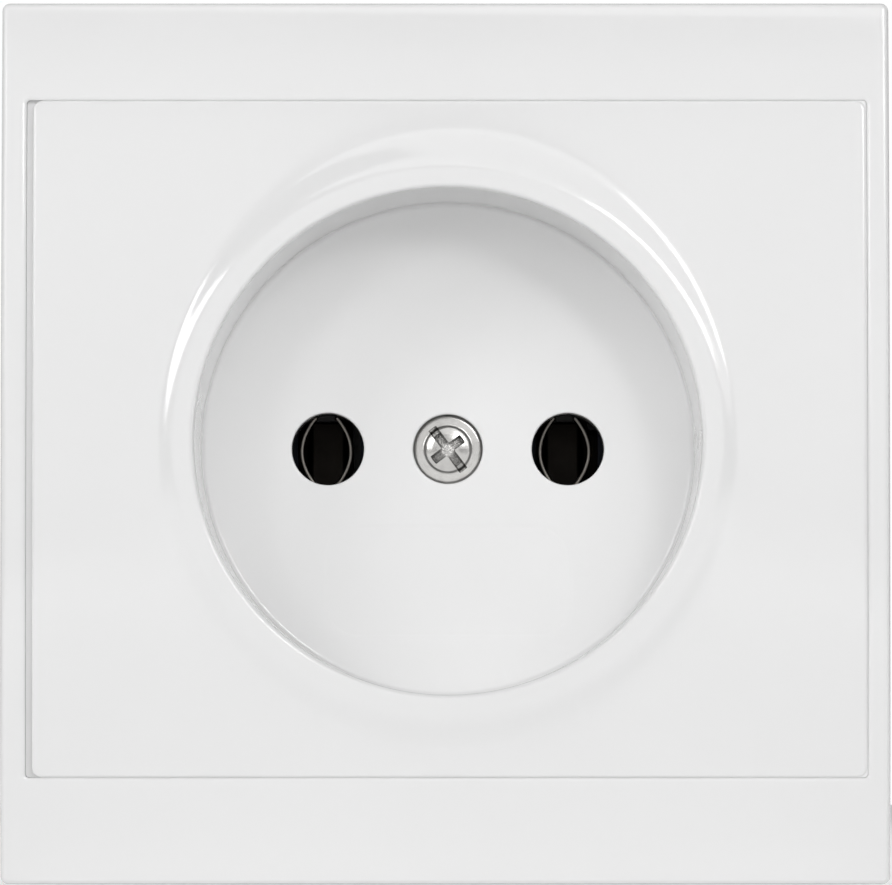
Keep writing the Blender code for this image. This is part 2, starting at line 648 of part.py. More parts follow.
def chamber_cutters(side):
    """The hollows for one contact and its terminal, with screw and wire holes."""
    top = POCKET_FLOOR + GUIDE_THICKNESS
    terminal_half = TERMINAL_HEIGHT / 2 + SEAT_GAP
    boxes = [((PIN_X - CONTACT_CHAMBER_HALF, -CONTACT_CHAMBER_HALF, CHAMBER_BACK),
              (TERMINAL_X, CONTACT_CHAMBER_HALF, top)),
             ((TAIL_X - SEAT_GAP, -terminal_half, CHAMBER_BACK),
              (TERMINAL_CHAMBER_END, terminal_half, top))]
    mirror = Matrix.Diagonal((side, 1, 1, 1))
    cutters = [moved(block("chamber", *box), mirror) for box in boxes]
    head = TERMINAL_SCREW_HEAD_RADIUS + RUN_GAP
    for up in (1, -1):
        y = up * WIRE_PITCH / 2
        screw_way = cylinder("screw_way", head, WIRE_X, 2 * HOUSING_FLAT, steps=SMALL_STEPS)
        turn = Matrix.Translation((0, y, TERMINAL_MIDDLE)) @ Matrix.Rotation(side * math.pi / 2, 4, "Y")
        cutters.append(moved(screw_way, turn))
        way = [(0, TERMINAL_MIDDLE), (WIRE_RADIUS + RUN_GAP, TERMINAL_MIDDLE),
               (WIRE_RADIUS + RUN_GAP, HOUSING_BACK + WIRE_FUNNEL),
               (WIRE_RADIUS + RUN_GAP + 2 * WIRE_FUNNEL, HOUSING_BACK - WIRE_FUNNEL),
               (0, HOUSING_BACK - WIRE_FUNNEL)]
        wire_way = turned("wire_way", way, SMALL_STEPS)
        cutters.append(moved(wire_way, Matrix.Translation((side * WIRE_X, y, 0))))
    return cutters


def guide():
    """The insulating disc over the contacts, with funnels that lead the pins in."""
    radius = POCKET_RADIUS - RUN_GAP
    disc = cylinder("contact_guide", radius, GUIDE_BACK, GUIDE_TOP, steps=BODY_STEPS)
    for side in (1, -1):
        cut(disc, hole_cutter("funnel", PIN_HOLE_RADIUS, GUIDE_FUNNEL, GUIDE_TOP,
                              GUIDE_BACK - GUIDE_FUNNEL, (side * PIN_X, 0)))
    cut(disc, cylinder("boss_way", BOSS_RADIUS + RUN_GAP, GUIDE_BACK - CUP_FLOOR, FACE_DEPTH))
    return black(disc)


def contact(side):
    """A bronze clip: two leaves bowed round the pin, rising from one base, on a welded tail."""
    shares = [2 * j / LEAF_COLUMNS - 1 for j in range(LEAF_COLUMNS + 1)]
    grid = [[leaf_point(i / LEAF_ROWS, share) for share in shares] for i in range(LEAF_ROWS + 1)]
    grid += [[bend_point(math.pi / 2 * i / BEND_ROWS, share) for share in shares]
             for i in range(1, BEND_ROWS + 1)]
    grid += [[(-x, y, z) for x, y, z in row] for row in reversed(grid)]
    sheet = bmesh.new()
    verts = [[sheet.verts.new(point) for point in row] for row in grid]
    for a, b in zip(verts, verts[1:]):
        for j in range(LEAF_COLUMNS):
            sheet.faces.new((a[j], a[j + 1], b[j + 1], b[j]))
    clip = from_bmesh("contact", sheet)
    thick = clip.modifiers.new("sheet", "SOLIDIFY")
    thick.thickness = SHEET
    thick.offset = 0.0
    bake(clip)
    join(clip, contact_tail())
    clip.name = "contact_right" if side > 0 else "contact_left"
    moved(clip, Matrix.Diagonal((side, 1, 1, 1)))
    clip.location = (side * PIN_X, 0, 0)
    return bronze(clip)


def contact_tail():
    """The strip under the clip, bent up beside the terminal block."""
    end = TAIL_X + SHEET - PIN_X
    outside = LEAF_BEND + SHEET / 2
    section = [(0, 0)]
    section += arc(end - outside, outside, outside, 270, 360, 4)
    section += [(end, TAIL_RISE), (end - SHEET, TAIL_RISE)]
    section += arc(end - outside, outside, outside - SHEET, 360, 270, 4)
    section += [(0, SHEET)]
    strip = flat_shape("tail", [section], -TAIL_HALF_HEIGHT, TAIL_HALF_HEIGHT)
    return moved(strip, Matrix.Translation((0, 0, CONTACT_BACK)) @ SWAP_YZ)


def leaf_point(down, across):
    """A point of the left leaf's middle surface, down running from its front edge to its bend.

    The gap between the tips widens evenly towards the root, and the bow dies out there.
    """
    bend_top = CLIP_BACK + SHEET / 2 + LEAF_BEND
    edge = LEAF_TIP_GAP + (LEAF_ROOT_GAP - LEAF_TIP_GAP) * down
    bulge = LEAF_BULGE * (1 - down) * (1 - across ** 2)
    height = LEAF_FRONT + (bend_top - LEAF_FRONT) * down
    return (-(edge + bulge + SHEET / 2), LEAF_HALF_HEIGHT * across, height)


def bend_point(angle, across):
    """A point of the quarter bend from the left leaf into the base."""
    x = LEAF_ROOT_GAP + SHEET / 2 - LEAF_BEND * (1 - math.cos(angle))
    height = CLIP_BACK + SHEET / 2 + LEAF_BEND * (1 - math.sin(angle))
    return (-x, LEAF_HALF_HEIGHT * across, height)


def spring(side):
    """A steel band clipped round the leaves to keep them closed on the pin."""
    inner_x = SPRING_HALF_WIDTH - SPRING_SHEET
    inner_y = LEAF_HALF_HEIGHT + SEAT_GAP
    outside = rounded_outline(2 * (inner_x + SPRING_SHEET), 2 * (inner_y + SPRING_SHEET),
                              SPRING_BEND + SPRING_SHEET, steps=4)
    inside = rounded_outline(2 * inner_x, 2 * inner_y, SPRING_BEND, steps=4)
    ring = flat_shape("spring", [outside, inside], LEAF_FRONT - SPRING_BACK - SPRING_WIDTH,
                      LEAF_FRONT - SPRING_BACK)
    mouth = block("mouth", (-SPRING_MOUTH / 2, 0, LEAF_FRONT - SPRING_BACK - 2 * SPRING_WIDTH),
                  (SPRING_MOUTH / 2, 2 * inner_y, LEAF_FRONT))
    cut(ring, mouth)
    ring.name = "contact_spring_right" if side > 0 else "contact_spring_left"
    ring.location = (side * PIN_X, 0, 0)
    return zinc(ring)


def terminal(side):
    """A brass block with two wire bores from the back and two screw bores from the side."""
    shape = block("terminal", (TERMINAL_X, -TERMINAL_HEIGHT / 2, TERMINAL_BACK),
                  (TERMINAL_END, TERMINAL_HEIGHT / 2, TERMINAL_BACK + TERMINAL_DEPTH))
    edges = shape.modifiers.new("edges", "BEVEL")
    edges.width = TERMINAL_EDGE
    edges.segments = 1
    bake(shape)
    for up in (1, -1):
        y = up * WIRE_PITCH / 2
        wire = cylinder("wire", WIRE_RADIUS, TERMINAL_BACK - FACE_DEPTH, 0, (WIRE_X, y), SMALL_STEPS)
        bore = cylinder("bore", TERMINAL_SCREW_RADIUS + SEAT_GAP, WIRE_X, TERMINAL_END + FACE_DEPTH,
                        steps=SMALL_STEPS)
        moved(bore, Matrix.Translation((0, y, TERMINAL_MIDDLE)) @ Matrix.Rotation(math.pi / 2, 4, "Y"))
        cut(shape, wire, bore)
    shape.name = "terminal_block_right" if side > 0 else "terminal_block_left"
    moved(shape, Matrix.Diagonal((side, 1, 1, 1)))
    return brass(shape)


def slotted_screw(name, radius, head_radius, head, reach, slot_width):
    """A pan head screw along z, its head's underside at the origin."""
    corner = head / 2
    profile = [(0, head)]
    profile += arc(head_radius - corner, head - corner, corner, 90, 0, 2)
    profile += [(head_radius, 0), (radius, 0), (radius, radius / 2 - reach), (radius / 2, -reach),
                (0, -reach)]
    screw = turned(name, profile, SCREW_STEPS)
    slot = block("slot", (-slot_width / 2, -2 * head_radius, head / 2),
                 (slot_width / 2, 2 * head_radius, 2 * head))
    return cut(screw, slot)


def terminal_screws():
    """Four wire screws, reached from the sides of the housing."""
    reach = TERMINAL_WIDTH / 2
    made = []
    for side, side_name in ((1, "right"), (-1, "left")):
        for up, up_name in ((1, "upper"), (-1, "lower")):
            screw = slotted_screw(f"terminal_screw_{side_name}_{up_name}", TERMINAL_SCREW_RADIUS,
                                  TERMINAL_SCREW_HEAD_RADIUS, TERMINAL_SCREW_HEAD, reach, TERMINAL_SCREW_SLOT)
            screw.location = (side * (TERMINAL_END + SEAT_GAP), up * WIRE_PITCH / 2, TERMINAL_MIDDLE)
            screw.rotation_euler = (0, side * math.pi / 2, 0)
            made.append(zinc(screw))
    return made


def strap_screws():
    """Four screws through the strap into the housing's ears."""
    reach = STRAP_THICKNESS + 2 * SEAT_GAP + STRAP_SCREW_REACH
    names = ("upper_right", "upper_left", "lower_left", "lower_right")
    made = []
    for name, (x, y) in zip(names, ear_centres()):
        screw = slotted_screw(f"strap_screw_{name}", STRAP_SCREW_RADIUS, STRAP_SCREW_HEAD_RADIUS,
                              STRAP_SCREW_HEAD, reach, TERMINAL_SCREW_SLOT)
        screw.location = (x, y, STRAP_THICKNESS + SEAT_GAP)
        screw.rotation_euler = (0, 0, math.atan2(y, x))
        made.append(zinc(screw))
    return made


def cover_screw():
    """The domed middle screw with a slot and a cross recess."""
    seat = WELL_FLOOR + SEAT_GAP
    rim = seat + SCREW_HEAD_EDGE
    dome_radius = (SCREW_HEAD_RADIUS ** 2 + SCREW_HEAD_DOME ** 2) / (2 * SCREW_HEAD_DOME)
    half_angle = math.degrees(math.asin(SCREW_HEAD_RADIUS / dome_radius))
    profile = arc(0, rim + SCREW_HEAD_DOME - dome_radius, dome_radius, 90, 90 - half_angle, 6)
    tip = WELL_FLOOR - SCREW_LENGTH
    profile += [(SCREW_HEAD_RADIUS, seat), (SCREW_SHANK_RADIUS, seat),
                (SCREW_SHANK_RADIUS, tip + SCREW_SHANK_RADIUS / 2), (SCREW_SHANK_RADIUS / 2, tip), (0, tip)]
    screw = turned("cover_screw", profile, SMALL_STEPS)
    top = rim + SCREW_HEAD_DOME
    half = SCREW_SLOT_WIDTH / 2
    slot = block("slot", (-2 * SCREW_HEAD_RADIUS, -half, top - SCREW_SLOT_DEPTH),
                 (2 * SCREW_HEAD_RADIUS, half, top + SCREW_HEAD_DOME))
    cross = [block("arm", (-a, -b, top - SCREW_CROSS_DEPTH), (a, b, top + SCREW_HEAD_DOME))
             for a, b in ((SCREW_CROSS_REACH, half * 0.96), (half * 0.96, SCREW_CROSS_REACH))]
    cut(screw, slot, *cross)
    moved(screw, Matrix.Rotation(SCREW_TURN, 4, "Z"))
    return zinc(screw)


def centre_insert():
    """The flanged brass insert in the housing that the middle screw bites in."""
    top = POCKET_FLOOR - SEAT_GAP
    profile = [(INSERT_RADIUS, top), (INSERT_RADIUS, top - INSERT_LENGTH + SEAT_GAP),
               (SCREW_BORE, top - INSERT_LENGTH + SEAT_GAP), (SCREW_BORE, top)]
    return brass(turned("centre_insert", profile, SMALL_STEPS, closed=True))


for leftover in list(bpy.data.objects):
    bpy.data.objects.remove(leftover)
PARTS = collection("wall_socket")
wall_plane = bpy.data.objects.new("wall_plane", None)
PARTS.objects.link(wall_plane)

pieces = [surround(), cover(), strap(), housing(), guide(), cover_screw(), centre_insert()]
for hand in (1, -1):
    pieces += [contact(hand), spring(hand), terminal(hand)]
pieces += terminal_screws() + strap_screws()
for piece in pieces:
    piece.parent = wall_plane
wall_plane.rotation_euler = (math.pi / 2, 0, 0)
bpy.context.view_layer.update()
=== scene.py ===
# %% [markdown]
# # A recessed wall socket, dressed for its picture
#
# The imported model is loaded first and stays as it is. It gives the place of every piece, in
# metres, with the face of the socket looking along -Y and +Z up.

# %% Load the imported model
import math

import bmesh
import bpy
import mathutils
import numpy as np
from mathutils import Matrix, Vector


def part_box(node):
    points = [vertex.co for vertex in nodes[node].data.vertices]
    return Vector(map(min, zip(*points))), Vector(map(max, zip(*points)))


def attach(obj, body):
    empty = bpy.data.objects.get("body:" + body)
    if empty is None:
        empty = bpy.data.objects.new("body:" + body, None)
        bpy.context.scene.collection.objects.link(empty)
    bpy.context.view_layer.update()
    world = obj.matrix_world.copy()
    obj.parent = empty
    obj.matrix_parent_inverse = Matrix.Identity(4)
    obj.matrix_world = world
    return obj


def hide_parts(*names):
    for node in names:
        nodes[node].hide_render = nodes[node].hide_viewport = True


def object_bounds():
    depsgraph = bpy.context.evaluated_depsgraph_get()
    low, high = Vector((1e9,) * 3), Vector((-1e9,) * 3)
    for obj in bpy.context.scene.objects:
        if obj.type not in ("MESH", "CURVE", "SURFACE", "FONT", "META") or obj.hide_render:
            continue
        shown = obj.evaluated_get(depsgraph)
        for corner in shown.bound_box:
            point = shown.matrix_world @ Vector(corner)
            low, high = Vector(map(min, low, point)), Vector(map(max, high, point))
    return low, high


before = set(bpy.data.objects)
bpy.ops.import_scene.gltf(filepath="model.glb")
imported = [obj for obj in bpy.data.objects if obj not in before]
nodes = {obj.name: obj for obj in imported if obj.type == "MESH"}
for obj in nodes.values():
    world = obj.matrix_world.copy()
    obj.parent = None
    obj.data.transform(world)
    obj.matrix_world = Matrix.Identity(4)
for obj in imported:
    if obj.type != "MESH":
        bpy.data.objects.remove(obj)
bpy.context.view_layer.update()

# %% [markdown]
# ## Bench sizes
#
# The pieces are worked out as on a bench: x to the right, up the face, and out of the wall
# towards the room. One line then stands the points up in the room. Sizes are in millimetres
# here, because that is how a moulding is drawn, and they are the sizes of the solids.

# %% Sizes of the solids, in millimetres
MM = 0.001
FACE_OUT = 8.6                   # front of the surround, at the ends of its window
FACE_CROWN = 600.0               # radius of the surround's bow, a little flatter than the insert
FACE_SHIFT = (-0.2, -0.1)        # the surround's play to the left and down
FACE_SIZE = (68.8, 68.3)
WINDOW_SIZE = (65.13, 52.50)     # the joint as the picture shows it: wide on the left alone
WINDOW_CENTRE = (-0.105, 0.22)
PLATE_SIZE = (64.53, 52.35)
PLATE_CENTRE = (0.115, 0.225)
PLATE_CORNER = 0.7
WINDOW_CORNER = 0.3
PLATE_RISE = 0.1                 # middle of the bow above the pin line
PLATE_CROWN = 470.0              # radius of the bow about a level axis
PLATE_APEX = 9.399
COLLAR_TOP = 9.539
COLLAR_RADIUS = 21.6
COLLAR_SLOPE = math.radians(19.5)
RECESS_RADIUS = 19.65
FLOOR_RADIUS = 19.51
DRAFT = 0.14                     # the recess wall leans in by this much
FLOOR_OUT = COLLAR_TOP - 15.0
FILLET = 0.4                     # between recess floor and wall
RIM_ROUND = 0.4
WELL_DEPTH = 2.4
CUP_RADIUS = 21.25
CUP_ROUND = 0.8
CUP_BACK = FLOOR_OUT - 2.0
PIN_X = 9.5


def stand(x, up, out):
    """Bench millimetres to room metres: out of the wall is -Y, and up the face is +Z."""
    x, up, out = np.broadcast_arrays(x, up, out)
    return np.stack([x, -out, up], -1) * MM


for name, key, size in (("surround_frame", 0, FACE_SIZE[0]), ("surround_frame", 2, FACE_SIZE[1])):
    low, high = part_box(name)
    print(name, "axis", key, round((high[key] - low[key]) / MM, 3), "mm in the solid,", size, "here")

# %% [markdown]
# ## From a grid to a piece
#
# Every new piece is one or more grids of points. A grid is closed along its columns, so that a
# row is a loop round the piece. Neighbouring grids share their edge points, and merging those
# makes one closed skin. Smooth shading with sharp edges above an angle keeps rounds soft and
# corners crisp.

# %% Build a mesh from grids of points


def ring_faces(rows, columns, first=0, closed_rows=False):
    """Quads between the points of a grid whose columns close, as an index array."""
    index = np.arange(rows * columns).reshape(rows, columns) + first
    if closed_rows:
        index = np.vstack([index, index[:1]])
    near, far = index[:-1], index[1:]
    quads = [near, far, np.roll(far, -1, 1), np.roll(near, -1, 1)]
    return np.stack(quads, -1).reshape(-1, 4)


def skin(name, grids, sharp=30.0, closed_rows=False, merge=1e-7):
    """One smooth closed mesh from several grids, its doubles merged and its faces turned out."""
    points, faces, first = [], [], 0
    for grid in grids:
        rows, columns = grid.shape[:2]
        faces.append(ring_faces(rows, columns, first, closed_rows))
        points.append(grid.reshape(-1, 3))
        first += rows * columns
    mesh = bpy.data.meshes.new(name)
    mesh.from_pydata(np.concatenate(points).tolist(), [], np.concatenate(faces).tolist())
    shape = bmesh.new()
    shape.from_mesh(mesh)
    bmesh.ops.remove_doubles(shape, verts=shape.verts, dist=merge)
    bmesh.ops.dissolve_degenerate(shape, edges=shape.edges, dist=merge)
    bmesh.ops.recalc_face_normals(shape, faces=shape.faces)
    open_edges = sum(not edge.is_manifold for edge in shape.edges)
    shape.to_mesh(mesh)
    shape.free()
    mesh.shade_smooth()
    mesh.set_sharp_from_angle(angle=math.radians(sharp))
    piece = bpy.data.objects.new(name, mesh)
    bpy.context.scene.collection.objects.link(piece)
    print(name, len(mesh.polygons), "faces,", open_edges, "open edges")
    return piece


def quarter(radius, steps, start=0.0, end=90.0):
    """Offsets of an arc about its centre: radius times cosine, radius times sine."""
    angle = np.radians(np.linspace(start, end, steps + 1))
    return radius * np.cos(angle), radius * np.sin(angle)


# %% [markdown]
# ## The insert's front, as a height over the face
#
# The white insert is a bowed plate with a low collar round a deep recess. Plate and collar are
# two simple heights: the plate falls away with the square of the distance from its middle line,
# and the collar's flank falls evenly outside a circle. The mould joins them with a small round
# root, so the larger of the two is taken with a soft changeover instead of a hard one. The
# collar's edge is a wide soft arc. It turns the mirrored lamps into the long thin streaks of
# the picture. The changeover lifts the front a little, so all of it is lowered again by 0.05 mm.

# %% Heights of the plate and the collar
ROOT = 0.19                      # how far the soft changeover reaches, mm of height
SINK = 0.052                     # keeps the softened collar inside the solid's box


def crown(x, up):
    """Plate height: the apex less the squared distance from the middle line over twice R."""
    return PLATE_APEX - (up - PLATE_RISE) ** 2 / (2 * PLATE_CROWN) + 0 * x


def collar(radius, edge=3.9):
    """Collar height: flat, then an arc of the edge radius, then an even slope outwards."""
    start = COLLAR_RADIUS - edge * math.tan(COLLAR_SLOPE / 2)
    over = np.clip(radius - start, 0, None)
    turn = edge * math.sin(COLLAR_SLOPE)
    on_arc = edge - np.sqrt(np.clip(edge ** 2 - np.minimum(over, turn) ** 2, 0, None))
    return COLLAR_TOP - on_arc - np.clip(over - turn, 0, None) * math.tan(COLLAR_SLOPE)


def front(x, up):
    """The larger of both heights, mixed softly where they differ by less than the root."""
    a, b = collar(np.hypot(x, up)), crown(x, up)
    return (a + b) / 2 + np.sqrt(((a - b) / 2) ** 2 + ROOT ** 2 / 4) - SINK


print("collar above the plate at its side, mm:", round(float(collar(21.6) - crown(21.6, 0.0)), 3))

# %% [markdown]
# ## The columns that all of the insert shares
#
# Seen from the front, every loop round the insert is crossed by the same set of angles. They
# are even, with extra ones where the plate's small corners need them and at the four places
# where the floor is divided, so that neighbouring grids meet point on point.

# %% Angles of the columns
FLOOR_EDGE = FLOOR_RADIUS - FILLET       # where the floor ends and its fillet begins
CELL = 4.75                              # half the distance between the two dividing lines
divide = math.acos(CELL / FLOOR_EDGE)
corner_x, corner_up = PLATE_SIZE[0] / 2 - PLATE_CORNER, PLATE_SIZE[1] / 2 - PLATE_CORNER
arc_x, arc_up = quarter(PLATE_CORNER, 10)
special = np.concatenate([np.arctan2(PLATE_CENTRE[1] + su * (corner_up + arc_up),
                                     PLATE_CENTRE[0] + sx * (corner_x + arc_x)) % (2 * np.pi)
                          for sx, su in ((1, 1), (-1, 1), (-1, -1), (1, -1))]
                         + [[divide, np.pi - divide, np.pi + divide, 2 * np.pi - divide]])
even = np.linspace(0, 2 * np.pi, 360, endpoint=False)
even = even[np.min(np.abs(even[:, None] - special[None, :]), 1) > 0.006]
theta = np.sort(np.concatenate([even, special]))
cos_t, sin_t = np.cos(theta), np.sin(theta)
print(len(theta), "columns round the insert")


def outline(half_x, half_up, corner, centre):
    """Where each column's ray meets a rounded rectangle, found by halving an interval."""
    far = np.full_like(theta, 60.0)
    near = np.zeros_like(theta)
    for _ in range(40):
        middle = (near + far) / 2
        qx = np.abs(middle * cos_t - centre[0]) - (half_x - corner)
        qu = np.abs(middle * sin_t - centre[1]) - (half_up - corner)
        beyond = np.hypot(np.maximum(qx, 0), np.maximum(qu, 0))
        outside = beyond + np.minimum(np.maximum(qx, qu), 0) - corner
        far = np.where(outside > 0, middle, far)
        near = np.where(outside > 0, near, middle)
    return near


def plate_outline(inset):
    """The plate's own outline, drawn in by the inset."""
    return outline(PLATE_SIZE[0] / 2 - inset, PLATE_SIZE[1] / 2 - inset, PLATE_CORNER - inset,
                   PLATE_CENTRE)


def flange_outline(gap):
    """The window's outline, drawn in by a gap: the insert's flange nearly fills the window."""
    return outline(WINDOW_SIZE[0] / 2 - gap, WINDOW_SIZE[1] / 2 - gap, WINDOW_CORNER - gap,
                   WINDOW_CENTRE)


# %% [markdown]
# ## The insert's outer skin
#
# One grid runs from the edge of the recess floor up the recess wall, over the rim and the
# collar, out over the plate, round its edge, in again behind, and down the outside of the cup
# to its back. The recess wall leans in by 0.14 mm, as a mould needs. Just under its soft edge
# the plate steps out to a flange that nearly fills the window of the surround. That is why the
# joint looks like a shallow light groove, and not like a black slit. The surround has slipped
# to the left in its play, so the groove is wider and deeper there and shows a darker line.
# Rows lie close where the surface turns and far apart where it is plain.

# %% Rows of the outer skin
rows = []


def add_row(radius, out):
    """A loop at a radius (one number or one per column) and a height out of the wall."""
    rows.append(stand(radius * cos_t, radius * sin_t, out + 0 * theta))


fillet_r, fillet_o = quarter(FILLET, 6, -90, 0)
for r, o in zip(fillet_r, fillet_o):
    add_row(FLOOR_EDGE + r, FLOOR_OUT + FILLET + o)
rim_middle = RECESS_RADIUS + RIM_ROUND
rim_out = front(rim_middle * cos_t, rim_middle * sin_t)
wall_height = rim_out - FLOOR_OUT - (FILLET + RIM_ROUND)
for share in np.linspace(0, 1, 14)[1:-1]:
    add_row(FLOOR_RADIUS + DRAFT * share, FLOOR_OUT + FILLET + wall_height * share)
rim_r, rim_o = quarter(RIM_ROUND, 8, 180, 90)
for r, o in zip(rim_r, rim_o):
    add_row(rim_middle + r, rim_out - RIM_ROUND + o)
COLLAR_FOOT = 24.6               # from here out the plate is plain
EDGE_ROUND = 0.28                # width of the plate's soft edge
EDGE_DEPTH = 0.13                # and its depth
FLANGE_DROP = 0.15               # front of the flange below the plate's edge
LEFT_DROP = 0.70                 # how much deeper it lies in the wider joint on the left
plate_edge = plate_outline(EDGE_ROUND)
for r in np.concatenate([np.linspace(20.25, 20.8, 4), np.linspace(20.86, COLLAR_FOOT, 92)]):
    add_row(r, front(r * cos_t, r * sin_t))
for share in np.linspace(0, 1, 26)[1:]:
    r = COLLAR_FOOT + (plate_edge - COLLAR_FOOT) * share
    add_row(r, front(r * cos_t, r * sin_t))
edge_out = front(plate_edge * cos_t, plate_edge * sin_t)
round_r, round_o = quarter(EDGE_ROUND, 7, 90, 0)
for r, o in zip(round_r[1:], round_o[1:]):
    add_row(plate_outline(EDGE_ROUND - r), edge_out - EDGE_DEPTH * (1 - o / EDGE_ROUND))
on_left = np.clip((-31.5 - flange_outline(0.0) * cos_t) / 0.8, 0, 1)
flange_front = edge_out - FLANGE_DROP - LEFT_DROP * on_left
brim = np.maximum(plate_outline(0.0) + 0.01, flange_outline(0.018))
for r, drop in ((plate_outline(0.0), 0.0), (brim - 0.004, 0.0), (brim, 0.02), (brim, 0.6)):
    add_row(r, flange_front - drop)
for out in (6.9, 6.2, 5.35):                                  # outside of the skirt
    add_row(plate_outline(0.0), out)
for inset, out in ((0.05, 5.2), (1.15, 5.2), (1.2, 5.3), (1.2, 6.7), (1.4, 6.88)):   # inside of it
    add_row(plate_outline(0.0) - inset / np.maximum(np.abs(cos_t), np.abs(sin_t)), out)
add_row(COLLAR_RADIUS, 6.88)                                  # back of the plate
for out in (6.6, 2.0, -2.5, -6.66):                           # outside of the cup
    add_row(CUP_RADIUS, out)
back_r, back_o = quarter(CUP_ROUND, 5, 0, -90)
for r, o in zip(back_r[1:], back_o[1:]):
    add_row(CUP_RADIUS - CUP_ROUND + r, CUP_BACK + CUP_ROUND + o)
outer_skin = np.stack(rows)
print("outer skin", outer_skin.shape)

# %% [markdown]
# ## The floor, with its holes
#
# A floor with three holes can't be one plain grid. It is divided by two upright lines into
# three cells with one hole each. In a cell, each point of the outline is joined to the hole by
# a straight row of points, and the rows go on down through the hole and out again over the
# back, so each cell is one closed tube.

# %% Three cells of the floor


def cell_outline(side, radius, line):
    """The loop of one cell: its part of the circle, and even points along the dividing lines."""
    ring = np.stack([radius * cos_t, radius * sin_t], -1)
    limit = math.cos(divide) * radius
    steps = np.linspace(-1, 1, line + 2)[1:-1]
    cut_up = math.sin(divide) * radius
    if side:
        on = side * np.cos(theta) > math.cos(divide) - 1e-9
        part = ring[on]
        lines = np.stack([np.full(line, side * limit), steps * cut_up], -1)
    else:
        on = np.abs(np.cos(theta)) < math.cos(divide) + 1e-9
        part = ring[on]
        lines = np.concatenate([np.stack([np.full(line, s * limit), steps * cut_up], -1)
                                for s in (-1, 1)])
    loop = np.concatenate([part, lines])
    centre = np.array([side * PIN_X, 0.0])
    angle = np.arctan2(*(loop - centre).T[::-1])
    return loop[np.argsort(angle)], centre


def cell_grid(side, profile, back_edge, line=70):
    """Rows from the front outline in to the hole, along its profile, and out to the back outline.

    The profile is a list of (radius, out) about the hole's middle.
    """
    loop, centre = cell_outline(side, FLOOR_EDGE, line)
    back, _ = cell_outline(side, back_edge, line)
    ray = loop - centre
    ray = ray / np.linalg.norm(ray, axis=1, keepdims=True)
    first = centre + ray * profile[0][0]
    last = centre + ray * profile[-1][0]
    made = []
    for share in np.linspace(0, 1, 15)[:-1] ** 0.8:
        flat = loop + (first - loop) * share
        made.append(stand(flat[:, 0], flat[:, 1], FLOOR_OUT))
    for radius, out in profile:
        flat = centre + ray * radius
        made.append(stand(flat[:, 0], flat[:, 1], out))
    for share in np.linspace(0, 1, 9)[1:]:
        flat = last + (back - last) * share
        made.append(stand(flat[:, 0], flat[:, 1], CUP_BACK))
    return np.stack(made)


def hole_mouth(radius, edge, steps=6):
    """The rounded edge of a hole: a quarter arc that turns from the floor into the wall."""
    across, along = quarter(edge, steps, 90, 180)
    return list(zip(radius + edge + across, FLOOR_OUT - edge + along))


PIN_RADIUS = 2.86
WELL_RADIUS = 2.75
BOSS_OUT = -9.761                # back of the well's boss, and its radius
BOSS_RADIUS = 4.2
pin_profile = hole_mouth(PIN_RADIUS, 0.15) + [(PIN_RADIUS, FLOOR_OUT - 1.0), (PIN_RADIUS, CUP_BACK)]
well_profile = hole_mouth(WELL_RADIUS, 0.18)
well_profile += [(WELL_RADIUS, FLOOR_OUT - 1.2), (WELL_RADIUS, FLOOR_OUT - 2.3),
                 (2.65, FLOOR_OUT - WELL_DEPTH), (1.7, FLOOR_OUT - WELL_DEPTH), (1.7, -9.7),
                 (1.8, BOSS_OUT), (4.1, BOSS_OUT), (BOSS_RADIUS, -9.66), (BOSS_RADIUS, CUP_BACK)]
cells = [cell_grid(side, profile, CUP_RADIUS - CUP_ROUND)
         for side, profile in ((-1, pin_profile), (1, pin_profile), (0, well_profile))]
cover = skin("socket_cover_moulding", [outer_skin] + cells, merge=2e-6)

# %% [markdown]
# ## The surround
#
# The surround is a square ring. Its loops are rounded rectangles with the same number of points
# each, so a profile can be carried round it by changing the size, the corner radius and the
# height from loop to loop. Its front is bowed like the insert, so the heights of the front
# loops follow an arc from top to bottom.

# %% Loops of the surround
hollow = (FACE_SIZE[0] - 2.4, FACE_SIZE[1] - 2.4)


def bowed_face(up):
    """Front of the surround: an arc through FACE_OUT at the window's upper and lower edge."""
    return FACE_OUT + ((WINDOW_SIZE[1] / 2) ** 2 - (up - PLATE_RISE) ** 2) / (2 * FACE_CROWN)


def frame_loop(width, height, corner, out, centre=WINDOW_CENTRE, side=28, turn=8):
    """A rounded rectangle: four quarter arcs, joined by evenly divided straight sides.

    out is a height above the wall, or one below the bowed face if it is negative.
    """
    parts = []
    signs = ((1, 1), (-1, 1), (-1, -1), (1, -1))
    for k, (sx, su) in enumerate(signs):
        across, along = quarter(corner, turn, 90 * k, 90 * k + 90)
        arc = np.stack([centre[0] + sx * (width / 2 - corner) + across,
                        centre[1] + su * (height / 2 - corner) + along], -1)
        nx, nu = signs[(k + 1) % 4]
        end = np.array([centre[0] + nx * (width / 2 - corner) + across[-1],
                        centre[1] + nu * (height / 2 - corner) + along[-1]])
        share = np.linspace(0, 1, side + 2)[1:-1, None]
        parts += [arc, arc[-1] + (end - arc[-1]) * share]
    x, up = np.concatenate(parts).T
    return stand(x, up, np.where(out < 0, bowed_face(up) + out, out + 0 * up))


